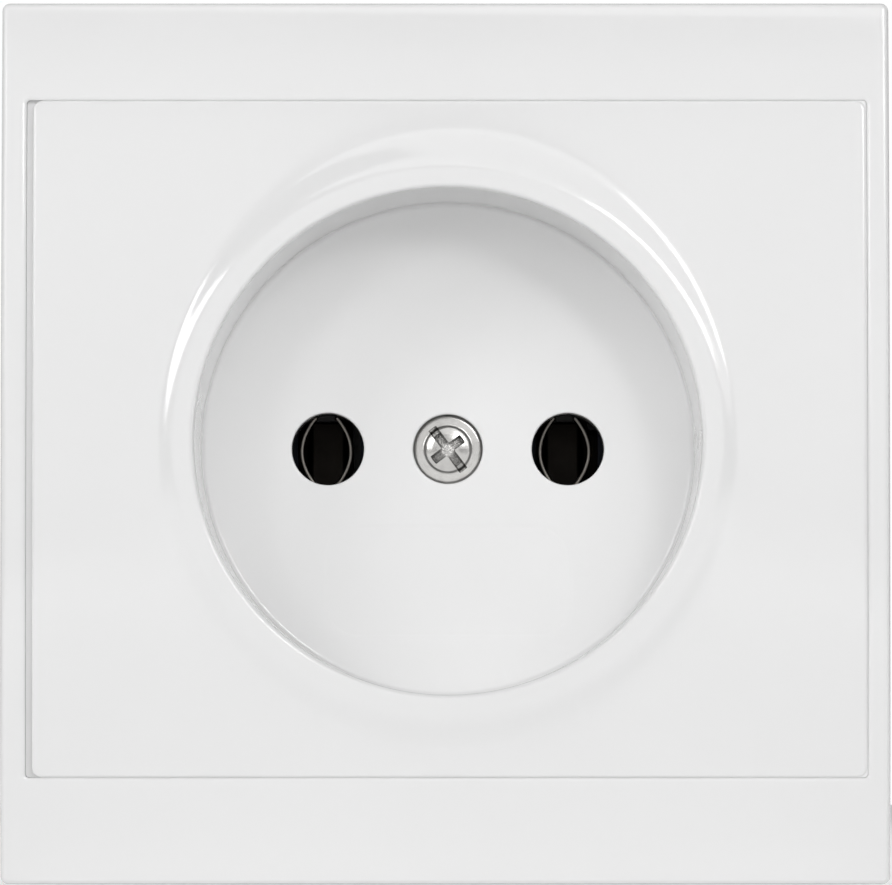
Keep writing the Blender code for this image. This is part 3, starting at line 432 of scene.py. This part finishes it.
TINY = -1e-6                     # just below the bowed face, so that frame_loop follows it
FACE_EDGE = 0.4                  # round of the outer edge
MOUTH_WIDE = 0.9                 # the window's mouth opens by this much over a soft edge
MOUTH_DEEP = 0.15
LEDGE_FRONT, LEDGE_BACK = 4.9, 3.5
LEDGE_CORNER = 1.0
loops = [frame_loop(*FACE_SIZE, 0.6, out, FACE_SHIFT) for out in (0.0, 4.0)]
outer = np.array(FACE_SIZE) - 2 * FACE_EDGE
loops += [frame_loop(*(outer + 2 * a), 0.2 + a, o - FACE_EDGE + TINY, FACE_SHIFT)
          for a, o in zip(*quarter(FACE_EDGE, 6))]
for share in np.linspace(0, 1, 10)[1:-1]:
    grown = (1 - share) * outer + share * (np.array(WINDOW_SIZE) + MOUTH_WIDE)
    middle = [(1 - share) * a + share * b for a, b in zip(FACE_SHIFT, WINDOW_CENTRE)]
    loops.append(frame_loop(*grown, 0.2 + 0.55 * share, TINY, middle))
loops += [frame_loop(WINDOW_SIZE[0] + MOUTH_WIDE * (1 + a), WINDOW_SIZE[1] + MOUTH_WIDE * (1 + a),
                     WINDOW_CORNER + 0.45 * (1 + a), MOUTH_DEEP * (o - 1) + TINY)
          for a, o in zip(*quarter(1.0, 6, 90, 180))]
loops += [frame_loop(*WINDOW_SIZE, WINDOW_CORNER, out) for out in (6.8, 5.0)]
loops += [frame_loop(WINDOW_SIZE[0] - inset, WINDOW_SIZE[1] - inset, corner, out)
          for inset, corner, out in ((0.2, WINDOW_CORNER, LEDGE_FRONT),
                                     (3.9, LEDGE_CORNER, LEDGE_FRONT), (4.0, LEDGE_CORNER, 4.8),
                                     (4.0, LEDGE_CORNER, LEDGE_BACK))]
loops += [frame_loop(*hollow, 0.3, out, FACE_SHIFT) for out in (LEDGE_BACK, 0.0)]
surround = skin("surround_moulding", [np.stack(loops)], closed_rows=True, merge=1e-6)

# %% [markdown]
# ## The bare panel in the recess floor
#
# The lower half of the recess floor has a shallow sunken panel, which stays bare here. Only its
# edge shows, as a thin change of slope. The floor's grid runs towards the holes and not along
# this panel, so the panel is cut afterwards: a cutter of four rounded loops and two poles is
# taken away from the insert. Its edges are marked sharp, so that the flat floor stays flat.

# %% Cut the panel
PANEL_SIZE = (19.8, 9.1)
PANEL_CORNER = 2.8
PANEL_CENTRE = (0.0, -10.45)
PANEL_DEEP = 0.03                # shallow, because the picture shows only a faint line
PANEL_SOFT = 0.3                 # width of its sloping edge


def pocket_loop(grow, out):
    """The panel's rounded rectangle, grown on all sides and set at a height out of the wall."""
    width, height = PANEL_SIZE[0] + 2 * grow, PANEL_SIZE[1] + 2 * grow
    loop = frame_loop(width, height, PANEL_CORNER + grow, 0.0, PANEL_CENTRE)
    loop[:, 1] = -out * MM
    return loop


floor_loop, rim_loop, upper_loop = [pocket_loop(way * PANEL_SOFT, FLOOR_OUT + way * PANEL_DEEP)
                                    for way in (-1, 0, 1)]
poles = [np.broadcast_to(loop.mean(0), loop.shape) for loop in (floor_loop, upper_loop)]
cutter = skin("panel_cutter", [np.stack([poles[0], floor_loop, rim_loop, upper_loop, poles[1]])])
cut = cover.modifiers.new("panel", "BOOLEAN")
cut.operation, cut.solver, cut.object = "DIFFERENCE", "EXACT", cutter
mesh = bpy.data.meshes.new_from_object(cover.evaluated_get(bpy.context.evaluated_depsgraph_get()))
cover.modifiers.clear()
cover.data = mesh
bpy.data.objects.remove(cutter)
mesh.set_sharp_from_angle(angle=math.radians(30.0))
shape = bmesh.new()
shape.from_mesh(mesh)
marked = 0
for edge in shape.edges:
    middle = (edge.verts[0].co + edge.verts[1].co) / 2 / MM
    near = abs(middle.x) < 10.3 and -15.4 < middle.z < -5.5 and abs(middle.y + FLOOR_OUT) < 0.1
    if near and edge.is_manifold and edge.calc_face_angle() > math.radians(2.0):
        edge.smooth = False
        marked += 1
open_edges = sum(not edge.is_manifold for edge in shape.edges)
shape.to_mesh(mesh)
shape.free()
print("panel cut:", len(mesh.polygons), "faces,", open_edges, "open edges,", marked, "panel edges")

# %% [markdown]
# ## The middle screw
#
# The screw's head is a low dome with a flat ring round it. A slot runs across the dome to just
# inside the ring, and a shorter cross recess crosses it. Dome, step and ring are one height
# over a disc. The grid's columns are bent so that they run along the edges of the slots: that
# keeps the edges straight and the corners sharp without a fine grid. The mesh keeps two values
# for the painted shade in the recess: how far a point lies under the dome, and how near it is to
# the pit's middle, where less shade is painted.

# %% The screw's head
HEAD_RADIUS = 2.71
HEAD_TOP = FLOOR_OUT - WELL_DEPTH + 0.3 + 0.9 + 0.8    # play under the head, its side, its dome
SLOT_HALF = 0.375
SLOT_DEPTH = 0.6
PIT_DEPTH = 1.1                              # of the cross recess
DOME_EDGE = 1.72
SLOT_TURN = math.radians(127)
MERGE_RADIUS = SLOT_HALF * math.sqrt(2)      # inside this the four arms are one pit
POLE = 0.0002                                # a loop so small that it merges to a point
DOME_RADIUS = 8.2                            # of the head's middle, inside its ring
HEAD_EDGE_DROP = 0.52                        # outer edge of the ring below the top
SHANK_RADIUS = 1.35
SHANK_END = FLOOR_OUT - 14.9


def head_drop(radius):
    """How far the head lies below its top: a flat dome, a step at 1.8 mm, a ring, a rounded edge."""
    ring = np.interp(radius, [DOME_EDGE, 1.77, 1.88, 1.94, 2.54, 2.61, 2.67, HEAD_RADIUS],
                     [0.18, 0.21, 0.33, 0.36, 0.39, 0.41, 0.45, HEAD_EDGE_DROP])
    return np.where(radius < DOME_EDGE, radius ** 2 / (2 * DOME_RADIUS), ring)


def head_row(radius, depth_slot, depth_cross):
    """One loop of the head: for each column its angle, and the dome's height less the recess.

    A column is at an edge of a slot where the sine of its angle from the slot is the slot's
    half width over the radius. The walls lean in, so the slot's floor is narrower than its
    mouth. Inside the merge radius the whole loop is floor.
    """
    edge = math.asin(min(SLOT_HALF / radius, math.sin(math.pi / 4)))
    outer = min(math.asin(min((SLOT_HALF + 0.03) / radius, 0.7071)), math.pi / 4)
    slot = np.array([-1.0, -0.62, 0.0, 0.62, 1.0]) * edge
    inside = radius < MERGE_RADIUS + 0.01
    walls = np.array([1.0 if inside else 0.0, 1.0, 1.0, 1.0, 1.0 if inside else 0.0])
    angles, depths = [], []
    for k in range(4):
        middle = SLOT_TURN + k * math.pi / 2
        depth = depth_slot if k % 2 == 0 else depth_cross
        land = np.linspace(outer, math.pi / 2 - outer, 13)
        angles += [middle + slot, middle + land]
        depths += [depth * walls, np.full(13, depth if inside else 0.0)]
    angle, depth = np.concatenate(angles), np.concatenate(depths)
    out = HEAD_TOP - head_drop(radius) - depth
    return stand(radius * np.cos(angle), radius * np.sin(angle), out)


in_pit = np.concatenate([np.linspace(POLE, MERGE_RADIUS, 6), np.linspace(MERGE_RADIUS + 0.07, 1.42, 8)])
head = [head_row(radius, PIT_DEPTH, PIT_DEPTH) for radius in in_pit]
head.append(head_row(1.45, 1.05, 1.05))
for radius in (1.48, 1.55, 1.64, DOME_EDGE, 1.77, 1.82, 1.88, 1.94, 2.0, 2.06):
    head.append(head_row(radius, SLOT_DEPTH, 0.0))
for radius in (2.1, 2.2, 2.3, 2.4, 2.54, 2.61, 2.67):
    head.append(head_row(radius, 0.0, 0.0))
side_angle = np.arctan2(head[-1][:, 2], head[-1][:, 0])
for radius, out in ((HEAD_RADIUS, HEAD_TOP - HEAD_EDGE_DROP), (HEAD_RADIUS, HEAD_TOP - 1.6),
                    (HEAD_RADIUS - 0.1, HEAD_TOP - 1.7), (SHANK_RADIUS, HEAD_TOP - 1.7),
                    (SHANK_RADIUS, SHANK_END + 0.7), (0.7, SHANK_END), (POLE, SHANK_END)):
    head.append(stand(radius * np.cos(side_angle), radius * np.sin(side_angle), out))
cover_screw = skin("middle_screw", [np.stack(head)], sharp=35, merge=1e-6)
points = np.empty(len(cover_screw.data.vertices) * 3)
cover_screw.data.vertices.foreach_get("co", points)
px, py, pz = points.reshape(-1, 3).T / MM
dome = HEAD_TOP - head_drop(np.minimum(np.hypot(px, pz), HEAD_RADIUS))
deep = np.clip((dome + py - 0.02) / 1.0, 0, 1) ** 0.8
cover_screw.data.attributes.new("under_dome", "FLOAT", "POINT").data.foreach_set("value", deep)
pit = np.clip((0.62 - np.hypot(px, pz)) / 0.25, 0, 1)
cover_screw.data.attributes.new("pit_middle", "FLOAT", "POINT").data.foreach_set("value", pit)
print("points in the recess:", int((deep > 0.3).sum()))

# %% [markdown]
# ## The contacts
#
# Behind each pin hole a strip of phosphor bronze is bent into a clip: two leaves that bow round
# the pin, joined by a base. Only the front edges of the leaves catch light, as an almond. The
# strip is one sheet whose middle surface is worked out along its length and across it. Solidify
# gives it the thickness of the sheet, and a bevel makes its edges almost fully round, so that
# only a thin line of each edge shines.

# %% Contact clips
SHEET = 0.45
CLIP_BACK = -21.3
LEAF_FRONT = -10.561
LEAF_HALF = 2.85
CLIP_SHIFT = -0.2                # both clips sit a little to the left in their play
BEND = 0.7


def leaf(down, across):
    """Left leaf: the half gap widens evenly from 0.5 to 1.6 and the bow of 1.25 dies out."""
    top = CLIP_BACK + SHEET / 2 + BEND
    x = -(0.5 + 1.1 * down + 1.25 * (1 - down) * (1 - across ** 2) + SHEET / 2)
    return x, LEAF_HALF * across, LEAF_FRONT + (top - LEAF_FRONT) * down


def leaf_bend(angle, across):
    """The quarter bend from the leaf into the base: a circle of the bend radius."""
    x = -(1.6 + SHEET / 2 - BEND * (1 - np.cos(angle)))
    return x, LEAF_HALF * across, CLIP_BACK + SHEET / 2 + BEND * (1 - np.sin(angle))


def sheet_piece(name, middle, edge=0.2):
    """A sheet from a grid of points on its middle surface, made thick and softly edged."""
    r, c = middle.shape[:2]
    index = np.arange(r * c).reshape(r, c)
    corners = [index[:-1, :-1], index[1:, :-1], index[1:, 1:], index[:-1, 1:]]
    quads = np.stack(corners, -1).reshape(-1, 4)
    mesh = bpy.data.meshes.new(name)
    mesh.from_pydata(middle.reshape(-1, 3).tolist(), [], quads.tolist())
    mesh.shade_smooth()
    piece = bpy.data.objects.new(name, mesh)
    bpy.context.scene.collection.objects.link(piece)
    thick = piece.modifiers.new("sheet", "SOLIDIFY")
    thick.thickness = SHEET * MM
    thick.offset = 0.0
    soft = piece.modifiers.new("edge", "BEVEL")
    soft.width = edge * MM
    soft.segments = 3
    soft.limit_method = "ANGLE"
    soft.angle_limit = math.radians(60)
    print(name, r, "by", c, "points")
    return piece


across, down = np.meshgrid(np.linspace(-1, 1, 33), np.linspace(0, 1, 41))
across_bend, angle = np.meshgrid(np.linspace(-1, 1, 33), np.linspace(0, np.pi / 2, 7)[1:])
half_clip = [np.concatenate([a, b]) for a, b in zip(leaf(down, across), leaf_bend(angle, across_bend))]
clip = [np.concatenate([part, mirror * part[::-1]]) for part, mirror in zip(half_clip, (-1, 1, 1))]
TAIL_BEND = 0.475
TAIL_BACK = 21.7
quarter_turn = np.linspace(0, np.pi / 2, 6)
tail_x = np.concatenate([[0.0, 2.6], 2.95 + TAIL_BEND * np.sin(quarter_turn), [3.425]])
tail_out = np.concatenate([[0.0, 0.0], TAIL_BEND * (1 - np.cos(quarter_turn)), [7.8]])
tail_out = tail_out - TAIL_BACK + SHEET / 2
tail_up, _ = np.meshgrid(np.linspace(-2.2, 2.2, 9), tail_x)
contacts = []
for side, hand in ((-1, "left"), (1, "right")):
    leaf_points = stand(side * (PIN_X + clip[0]) + CLIP_SHIFT, clip[1], clip[2])
    tail_points = stand(side * (PIN_X + tail_x[:, None]), tail_up, tail_out[:, None])
    contacts += [sheet_piece(f"contact_clip_{hand}", leaf_points),
                 sheet_piece(f"contact_tail_{hand}", tail_points)]

# %% [markdown]
# ## Pieces that keep their solid shape
#
# The strap, the black base and the disc over the contacts are right as solids. A copy of each
# has its loose triangles merged, its flat parts made whole again, and its edges rounded a
# little, because a pressed or moulded edge is never perfectly sharp. Weighted normals keep the
# flat parts flat beside the rounds.

# %% Copies with softened edges


def softened(node, name, width, sharp=35.0):
    """A merged copy of a solid with a narrow bevel on every edge above the given angle."""
    mesh = nodes[node].data.copy()
    mesh.name = name
    mesh.materials.clear()
    shape = bmesh.new()
    shape.from_mesh(mesh)
    bmesh.ops.remove_doubles(shape, verts=shape.verts, dist=2e-6)
    bmesh.ops.dissolve_limit(shape, angle_limit=math.radians(0.5), verts=shape.verts, edges=shape.edges)
    shape.to_mesh(mesh)
    shape.free()
    mesh.shade_smooth()
    piece = bpy.data.objects.new(name, mesh)
    bpy.context.scene.collection.objects.link(piece)
    edge = piece.modifiers.new("edge", "BEVEL")
    edge.width = width * MM
    edge.segments = 2
    edge.limit_method = "ANGLE"
    edge.angle_limit = math.radians(sharp)
    flat = piece.modifiers.new("flat", "WEIGHTED_NORMAL")
    flat.keep_sharp = True
    print(name, len(mesh.polygons), "faces before its bevel")
    return piece


strap = softened("mounting_strap", "strap_pressing", 0.10)
base = softened("base_housing", "base_moulding", 0.12)
disc = softened("contact_guide", "guide_moulding", 0.10)

# %% [markdown]
# ## How the finishes are built
#
# Each finish starts from the real material. Colours are written as sRGB, as a colour picker
# shows them, and made linear by one function. Patterns read Object coordinates, which are
# metres here because each piece's place is in its mesh, so a noise scale is one over a length.

# %% Helpers for the finishes


def linear(hex_colour):
    """sRGB hex to linear RGBA: a straight part near black, then a power of 2.4."""
    parts = [int(hex_colour[i:i + 2], 16) / 255 for i in (1, 3, 5)]
    return tuple(c / 12.92 if c <= 0.04045 else ((c + 0.055) / 1.055) ** 2.4 for c in parts) + (1.0,)


def add(tree, kind, inputs=None, **settings):
    """Add a node, set its properties, and give each named input a value or a link."""
    made = tree.nodes.new(kind)
    for key, value in settings.items():
        setattr(made, key, value)
    for socket, value in (inputs or {}).items():
        if isinstance(value, bpy.types.NodeSocket):
            tree.links.new(value, made.inputs[socket])
        else:
            made.inputs[socket].default_value = value
    return made


def finish_of(name, roughness, metallic=0.0, ior=None):
    """A new material with one Principled shader, and the piece's own coordinates."""
    material = bpy.data.materials.new(name)
    material.use_nodes = True
    tree = material.node_tree
    shader = tree.nodes["Principled BSDF"]
    shader.inputs["Roughness"].default_value = roughness
    shader.inputs["Metallic"].default_value = metallic
    if ior:
        shader.inputs["IOR"].default_value = ior
    place = add(tree, "ShaderNodeTexCoord").outputs["Object"]
    return material, tree, shader, place


# %% [markdown]
# ## White moulded ABS
#
# The face is injection moulded ABS with a polished mould: a warm-neutral white, glossy, with a
# very slight unevenness of the gloss where the melt flowed, and a faint orange peel of about
# one and a half millimetres.

# %% White ABS
abs_white, tree, shader, place = finish_of("abs_white_gloss_moulded", 0.13, ior=1.53)
flow = add(tree, "ShaderNodeTexNoise", {"Vector": place, "Scale": 45.0, "Detail": 2.0})
tint = add(tree, "ShaderNodeMix", {0: flow.outputs["Fac"], 6: linear("#EDEDED"), 7: linear("#F0F0F0")},
           data_type="RGBA")
tree.links.new(tint.outputs[2], shader.inputs["Base Color"])
gloss = add(tree, "ShaderNodeMapRange", {"Value": flow.outputs["Fac"], "From Min": 0.3, "From Max": 0.7,
                                         "To Min": 0.07, "To Max": 0.10})
tree.links.new(gloss.outputs["Result"], shader.inputs["Roughness"])
peel = add(tree, "ShaderNodeTexNoise", {"Vector": place, "Scale": 650.0, "Detail": 1.0})
peel_bump = add(tree, "ShaderNodeBump", {"Height": peel.outputs["Fac"], "Strength": 0.15,
                                         "Distance": 0.000004})
tree.links.new(peel_bump.outputs["Normal"], shader.inputs["Normal"])

# %% [markdown]
# ## Black moulded plastic
#
# The base and the disc over the contacts are a black glass-filled polyester. It is satin, with a
# fine grain from the spark-eroded mould, drawn here at a third of a millimetre so that it shows.

# %% Black polyester
pbt_black, tree, shader, place = finish_of("pbt_black_satin_moulded", 0.42, ior=1.57)
cloud = add(tree, "ShaderNodeTexNoise", {"Vector": place, "Scale": 120.0, "Detail": 3.0})
tint = add(tree, "ShaderNodeMix", {0: cloud.outputs["Fac"], 6: linear("#0B0B0C"), 7: linear("#161617")},
           data_type="RGBA")
tree.links.new(tint.outputs[2], shader.inputs["Base Color"])
grain = add(tree, "ShaderNodeTexNoise", {"Vector": place, "Scale": 3000.0, "Detail": 2.0})
bump = add(tree, "ShaderNodeBump", {"Height": grain.outputs["Fac"], "Strength": 0.35,
                                    "Distance": 0.00002})
tree.links.new(bump.outputs["Normal"], shader.inputs["Normal"])

# %% [markdown]
# ## Metals
#
# Zinc plated steel is a bluish grey with soft cloudy patches. Bright nickel on the middle screw
# is smoother and warmer, with fine rings from turning. Its slot and cross recess are painted dark
# as shade, less so at the pit's middle, and the punch left the recess uneven. The brass of the
# terminals shows the marks of the saw and mill. The bronze strip of the contacts has rolling lines
# along its length. Behind its sheared front edges, which are bare and pale, it is painted nearly
# black as the shade deep in the holes. The bands round the contacts are spring steel, blued almost
# to black by its hardening.

# %% Metal finishes


def metal(name, dark, pale, low, high, cloud_scale, stretch=(1.0, 1.0, 1.0), bump_depth=0.000006):
    """A metal whose colour and roughness follow one noise, stretched along the working direction."""
    material, tree, shader, place = finish_of(name, low, metallic=1.0)
    turned = add(tree, "ShaderNodeMapping", {"Vector": place, "Scale": stretch})
    marks = add(tree, "ShaderNodeTexNoise", {"Vector": turned.outputs["Vector"],
                                             "Scale": cloud_scale, "Detail": 4.0})
    tint = add(tree, "ShaderNodeMix", {0: marks.outputs["Fac"], 6: linear(dark), 7: linear(pale)},
               data_type="RGBA")
    tree.links.new(tint.outputs[2], shader.inputs["Base Color"])
    rough = add(tree, "ShaderNodeMapRange", {"Value": marks.outputs["Fac"], "From Min": 0.3,
                                             "From Max": 0.7, "To Min": low, "To Max": high})
    tree.links.new(rough.outputs["Result"], shader.inputs["Roughness"])
    bump = add(tree, "ShaderNodeBump", {"Height": marks.outputs["Fac"], "Strength": 0.4,
                                        "Distance": bump_depth})
    tree.links.new(bump.outputs["Normal"], shader.inputs["Normal"])
    return material


zinc = metal("steel_zinc_plated_pressed", "#A9ADB3", "#C9CCD0", 0.26, 0.42, 260.0)
blued = metal("steel_spring_blued", "#0E0F12", "#1B1D22", 0.30, 0.45, 260.0)
brass = metal("brass_milled", "#B08A45", "#D6B46A", 0.24, 0.38, 1500.0, (1.0, 1.0, 0.1))

bronze, tree, shader, place = finish_of("bronze_phosphor_sheared_shade_painted_deep", 0.3, metallic=1.0)
turned = add(tree, "ShaderNodeMapping", {"Vector": place, "Scale": (1.0, 0.08, 1.0)})
lines = add(tree, "ShaderNodeTexNoise", {"Vector": turned.outputs["Vector"], "Scale": 900.0,
                                         "Detail": 4.0})
bare = add(tree, "ShaderNodeMix", {0: lines.outputs["Fac"], 6: linear("#4C4A47"), 7: linear("#66625D")},
           data_type="RGBA")
shade_bronze = add(tree, "ShaderNodeMix", {0: lines.outputs["Fac"], 6: linear("#0B0A09"),
                                    7: linear("#151311")},
            data_type="RGBA")
# Painted shade: behind its sheared front edges the bronze turns nearly black, for the shade deep in the
# holes.
depth = add(tree, "ShaderNodeSeparateXYZ", {"Vector": place}).outputs["Y"]
inside = add(tree, "ShaderNodeMapRange", {"Value": depth, "From Min": 0.0107, "From Max": 0.0110})
tint = add(tree, "ShaderNodeMix", {0: inside.outputs["Result"], 6: bare.outputs[2],
                                   7: shade_bronze.outputs[2]},
           data_type="RGBA")
tree.links.new(tint.outputs[2], shader.inputs["Base Color"])

nickel, tree, shader, place = finish_of("steel_nickel_plated_turned", 0.17, metallic=1.0)
rings = add(tree, "ShaderNodeTexWave", {"Vector": place, "Scale": 900.0, "Distortion": 0.6,
                                        "Detail": 1.0},
            wave_type="RINGS", rings_direction="Y")
wear = add(tree, "ShaderNodeTexNoise", {"Vector": place, "Scale": 1400.0, "Detail": 3.0})
bright = add(tree, "ShaderNodeMix", {0: wear.outputs["Fac"], 6: linear("#8F8E8C"),
                                     7: linear("#ACABA9")},
             data_type="RGBA")
# Painted shade: the slot and the cross recess are darkened by their depth under the dome, less at the
# pit's middle; the mottle in that dark colour is random tone.
deep = add(tree, "ShaderNodeAttribute", attribute_name="under_dome")
pit = add(tree, "ShaderNodeAttribute", attribute_name="pit_middle")
shade_share = add(tree, "ShaderNodeMapRange", {"Value": pit.outputs["Fac"], "To Min": 0.75, "To Max": 0.15})
recess_shade = add(tree, "ShaderNodeMath", {0: deep.outputs["Fac"], 1: shade_share.outputs["Result"]},
             operation="MULTIPLY")
mottle = add(tree, "ShaderNodeTexNoise", {"Vector": place, "Scale": 5000.0, "Detail": 2.0})
recess_shade_colour = add(tree, "ShaderNodeMix", {0: mottle.outputs["Fac"], 6: linear("#101011"),
                                   7: linear("#6E6D6B")},
           data_type="RGBA")
tint = add(tree, "ShaderNodeMix", {0: recess_shade.outputs[0], 6: bright.outputs[2], 7: recess_shade_colour.outputs[2]},
           data_type="RGBA")
tree.links.new(tint.outputs[2], shader.inputs["Base Color"])
turned = add(tree, "ShaderNodeBump", {"Height": rings.outputs["Fac"], "Strength": 0.3,
                                      "Distance": 0.000004})
punched = add(tree, "ShaderNodeMath", {0: mottle.outputs["Fac"], 1: deep.outputs["Fac"]},
              operation="MULTIPLY")
bump = add(tree, "ShaderNodeBump", {"Height": punched.outputs[0], "Strength": 0.8, "Distance": 0.00008,
                                    "Normal": turned.outputs["Normal"]})
tree.links.new(bump.outputs["Normal"], shader.inputs["Normal"])

# %% [markdown]
# ## Which piece gets which finish
#
# New pieces ride on the one body of this model and stand for the solids that they replace. The
# other solids stay, and only get a better finish.

# %% Finishes on pieces
for piece, replaced, material, slot in (
        (cover, ["socket_cover"], abs_white, "white_plastic"),
        (surround, ["surround_frame"], abs_white, "white_plastic"),
        (cover_screw, ["cover_screw"], nickel, "nickel_steel"),
        (contacts[0], ["contact_left"], bronze, "bronze"), (contacts[1], [], bronze, "bronze"),
        (contacts[2], ["contact_right"], bronze, "bronze"), (contacts[3], [], bronze, "bronze"),
        (strap, ["mounting_strap"], zinc, "zinc_steel"),
        (base, ["base_housing"], pbt_black, "black_plastic"),
        (disc, ["contact_guide"], pbt_black, "black_plastic")):
    piece.data.materials.append(material)
    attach(piece, "root")
    if replaced:
        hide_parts(*replaced)
for name, node in nodes.items():
    kind = brass if "terminal_block" in name or name == "centre_insert" else zinc
    kind = blued if "spring" in name else kind
    if not node.hide_render:
        node.material_slots[0].material = kind
        print(name, "keeps its solid and gets", kind.name)

# %% [markdown]
# ## Camera
#
# The two pin holes are 19 mm apart on the real thing, and the rim and floor circles of the
# recess have a known size. Their places in the picture give the camera: 0.6 m away with a long
# lens, a little below the middle and looking slightly up.

# %% Camera
camera_data = bpy.data.cameras.new("camera")
camera_data.sensor_width = 36.0
camera_data.lens = 313.4
camera_data.clip_start = 0.01
camera = bpy.data.objects.new("camera", camera_data)
bpy.context.scene.collection.objects.link(camera)
bpy.context.scene.camera = camera
AIM = np.array([-0.00015, -0.00954, -0.00015])
TILT = math.radians(2.55)
camera.location = AIM + 0.6 * np.array([0.0, -math.cos(TILT), -math.sin(TILT)])
camera.rotation_euler = (math.pi / 2 + TILT, 0, 0)
print("camera at", [round(v, 4) for v in camera.location])

# %% [markdown]
# ## Floor and light
#
# The picture was lit from the upper left and upper right in a rather dark room. The collar
# shows where the lamps are: each is mirrored where the flank faces halfway between it and the
# camera. Two narrow strips make the two long streaks. Two large soft boxes behind them give
# most of the light and the soft shadow at the top of the recess, and two weaker boxes beside
# the camera fill that shadow. Small low lamps graze both sides and draw the joint and the
# rim. A lamp overhead lights the pale floor, which sends light back up, and two soft boxes
# behind the socket light its back for other views.

# %% Floor, lamps and world


def lamp(name, off_axis, turn, width, height, watts, distance=1.0):
    """A soft box off_axis degrees from straight ahead, turned from the right.

    Its width points away from the middle of the picture, and its height goes round it.
    """
    a, t = math.radians(off_axis), math.radians(turn)
    toward = np.array([math.sin(a) * math.cos(t), -math.cos(a), math.sin(a) * math.sin(t)])
    data = bpy.data.lights.new(name, "AREA")
    data.shape = "RECTANGLE"
    data.size, data.size_y, data.energy = width, height, watts
    light = bpy.data.objects.new(name, data)
    bpy.context.scene.collection.objects.link(light)
    across = np.cross(toward, np.cross([0.0, -1.0, 0.0], toward))
    across /= np.linalg.norm(across)
    axes = np.stack([across, np.cross(toward, across), toward], 1)
    rows = [[*row, place] for row, place in zip(axes, toward * distance)]
    light.matrix_world = mathutils.Matrix(rows + [[0, 0, 0, 1]])


lamp("soft_box_camera", 1, 90, 0.42, 0.42, 0.60)
lamp("soft_box_near", 12, 95, 0.40, 0.60, 0.22, 1.02)
lamp("soft_box_right", 30.5, 57, 0.58, 0.95, 2.9)
lamp("soft_box_left", 46, 147, 0.25, 0.55, 1.85)
lamp("strip_left", 23.5, 154.5, 0.13, 0.22, 0.75, 0.95)
lamp("strip_right", 20, 45, 0.10, 0.20, 0.9, 0.95)
lamp("side_left", 68, 177, 0.12, 0.08, 0.06, 0.35)
lamp("side_right", 68, 3, 0.12, 0.08, 0.06, 0.35)
lamp("soft_box_overhead", 88, 90, 0.60, 0.60, 1.3)
lamp("soft_box_back_left", 138, 150, 0.50, 0.50, 1.0)
lamp("soft_box_back_right", 128, 35, 0.50, 0.50, 1.0)

# %% [markdown]
# ## Background
#
# The room that lights the socket is dim, so that the soft boxes draw the shapes. The camera
# sees it white, and mirroring surfaces see a mid grey: light path nodes tell these rays from
# the ones that carry diffuse light. The floor is a little brighter for the same two kinds of
# ray, keeps the socket's shadow, and adds no light of its own to the object.

# %% World and floor


def seen_directly(tree, by_camera, mirrored):
    """A brightness for camera rays and one for mirrored rays, and whether a ray is one of those."""
    path = add(tree, "ShaderNodeLightPath").outputs
    gloss = add(tree, "ShaderNodeMath", {0: path["Is Glossy Ray"], 1: path["Is Transmission Ray"]},
                operation="MAXIMUM")
    seen = add(tree, "ShaderNodeMath", {0: path["Is Camera Ray"], 1: gloss.outputs[0]},
               operation="MAXIMUM")
    level = add(tree, "ShaderNodeMath", {0: path["Is Camera Ray"], 1: by_camera - mirrored,
                                         2: mirrored},
                operation="MULTIPLY_ADD")
    return level.outputs[0], seen.outputs[0]


world = bpy.data.worlds.new("room")
bpy.context.scene.world = world
world.use_nodes = True
tree = world.node_tree
room = tree.nodes["Background"]
room.inputs["Color"].default_value = (1.0, 1.0, 1.0, 1.0)
room.inputs["Strength"].default_value = 0.06
level, seen = seen_directly(tree, 1.0, 0.3)
pale = add(tree, "ShaderNodeBackground", {"Color": (1.0, 1.0, 1.0, 1.0), "Strength": level})
which = add(tree, "ShaderNodeMixShader", {0: seen, 1: room.outputs[0], 2: pale.outputs[0]})
tree.links.new(which.outputs[0], tree.nodes["World Output"].inputs["Surface"])

floor_mesh = bpy.data.meshes.new("floor")
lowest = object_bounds()[0].z - 0.0002
floor_corners = [(x, y, lowest) for x, y in ((-3, -3), (3, -3), (3, 3), (-3, 3))]
floor_mesh.from_pydata(floor_corners, [], [(0, 1, 2, 3)])
floor = bpy.data.objects.new("floor", floor_mesh)
bpy.context.scene.collection.objects.link(floor)
paper, tree, shader, place = finish_of("paper_white_matt", 0.9)
fibre = add(tree, "ShaderNodeTexNoise", {"Vector": place, "Scale": 400.0, "Detail": 3.0})
tint = add(tree, "ShaderNodeMix", {0: fibre.outputs["Fac"], 6: linear("#EEEEEE"), 7: linear("#F4F4F4")},
           data_type="RGBA")
tree.links.new(tint.outputs[2], shader.inputs["Base Color"])
level, seen = seen_directly(tree, 0.45, 1.0)
lift = add(tree, "ShaderNodeMath", {0: seen, 1: level}, operation="MULTIPLY")
shader.inputs["Emission Color"].default_value = (1.0, 1.0, 1.0, 1.0)
tree.links.new(lift.outputs[0], shader.inputs["Emission Strength"])
floor_mesh.materials.append(paper)
print("floor at", round(lowest / MM, 2), "mm")

bpy.context.scene.view_settings.view_transform = "Standard"
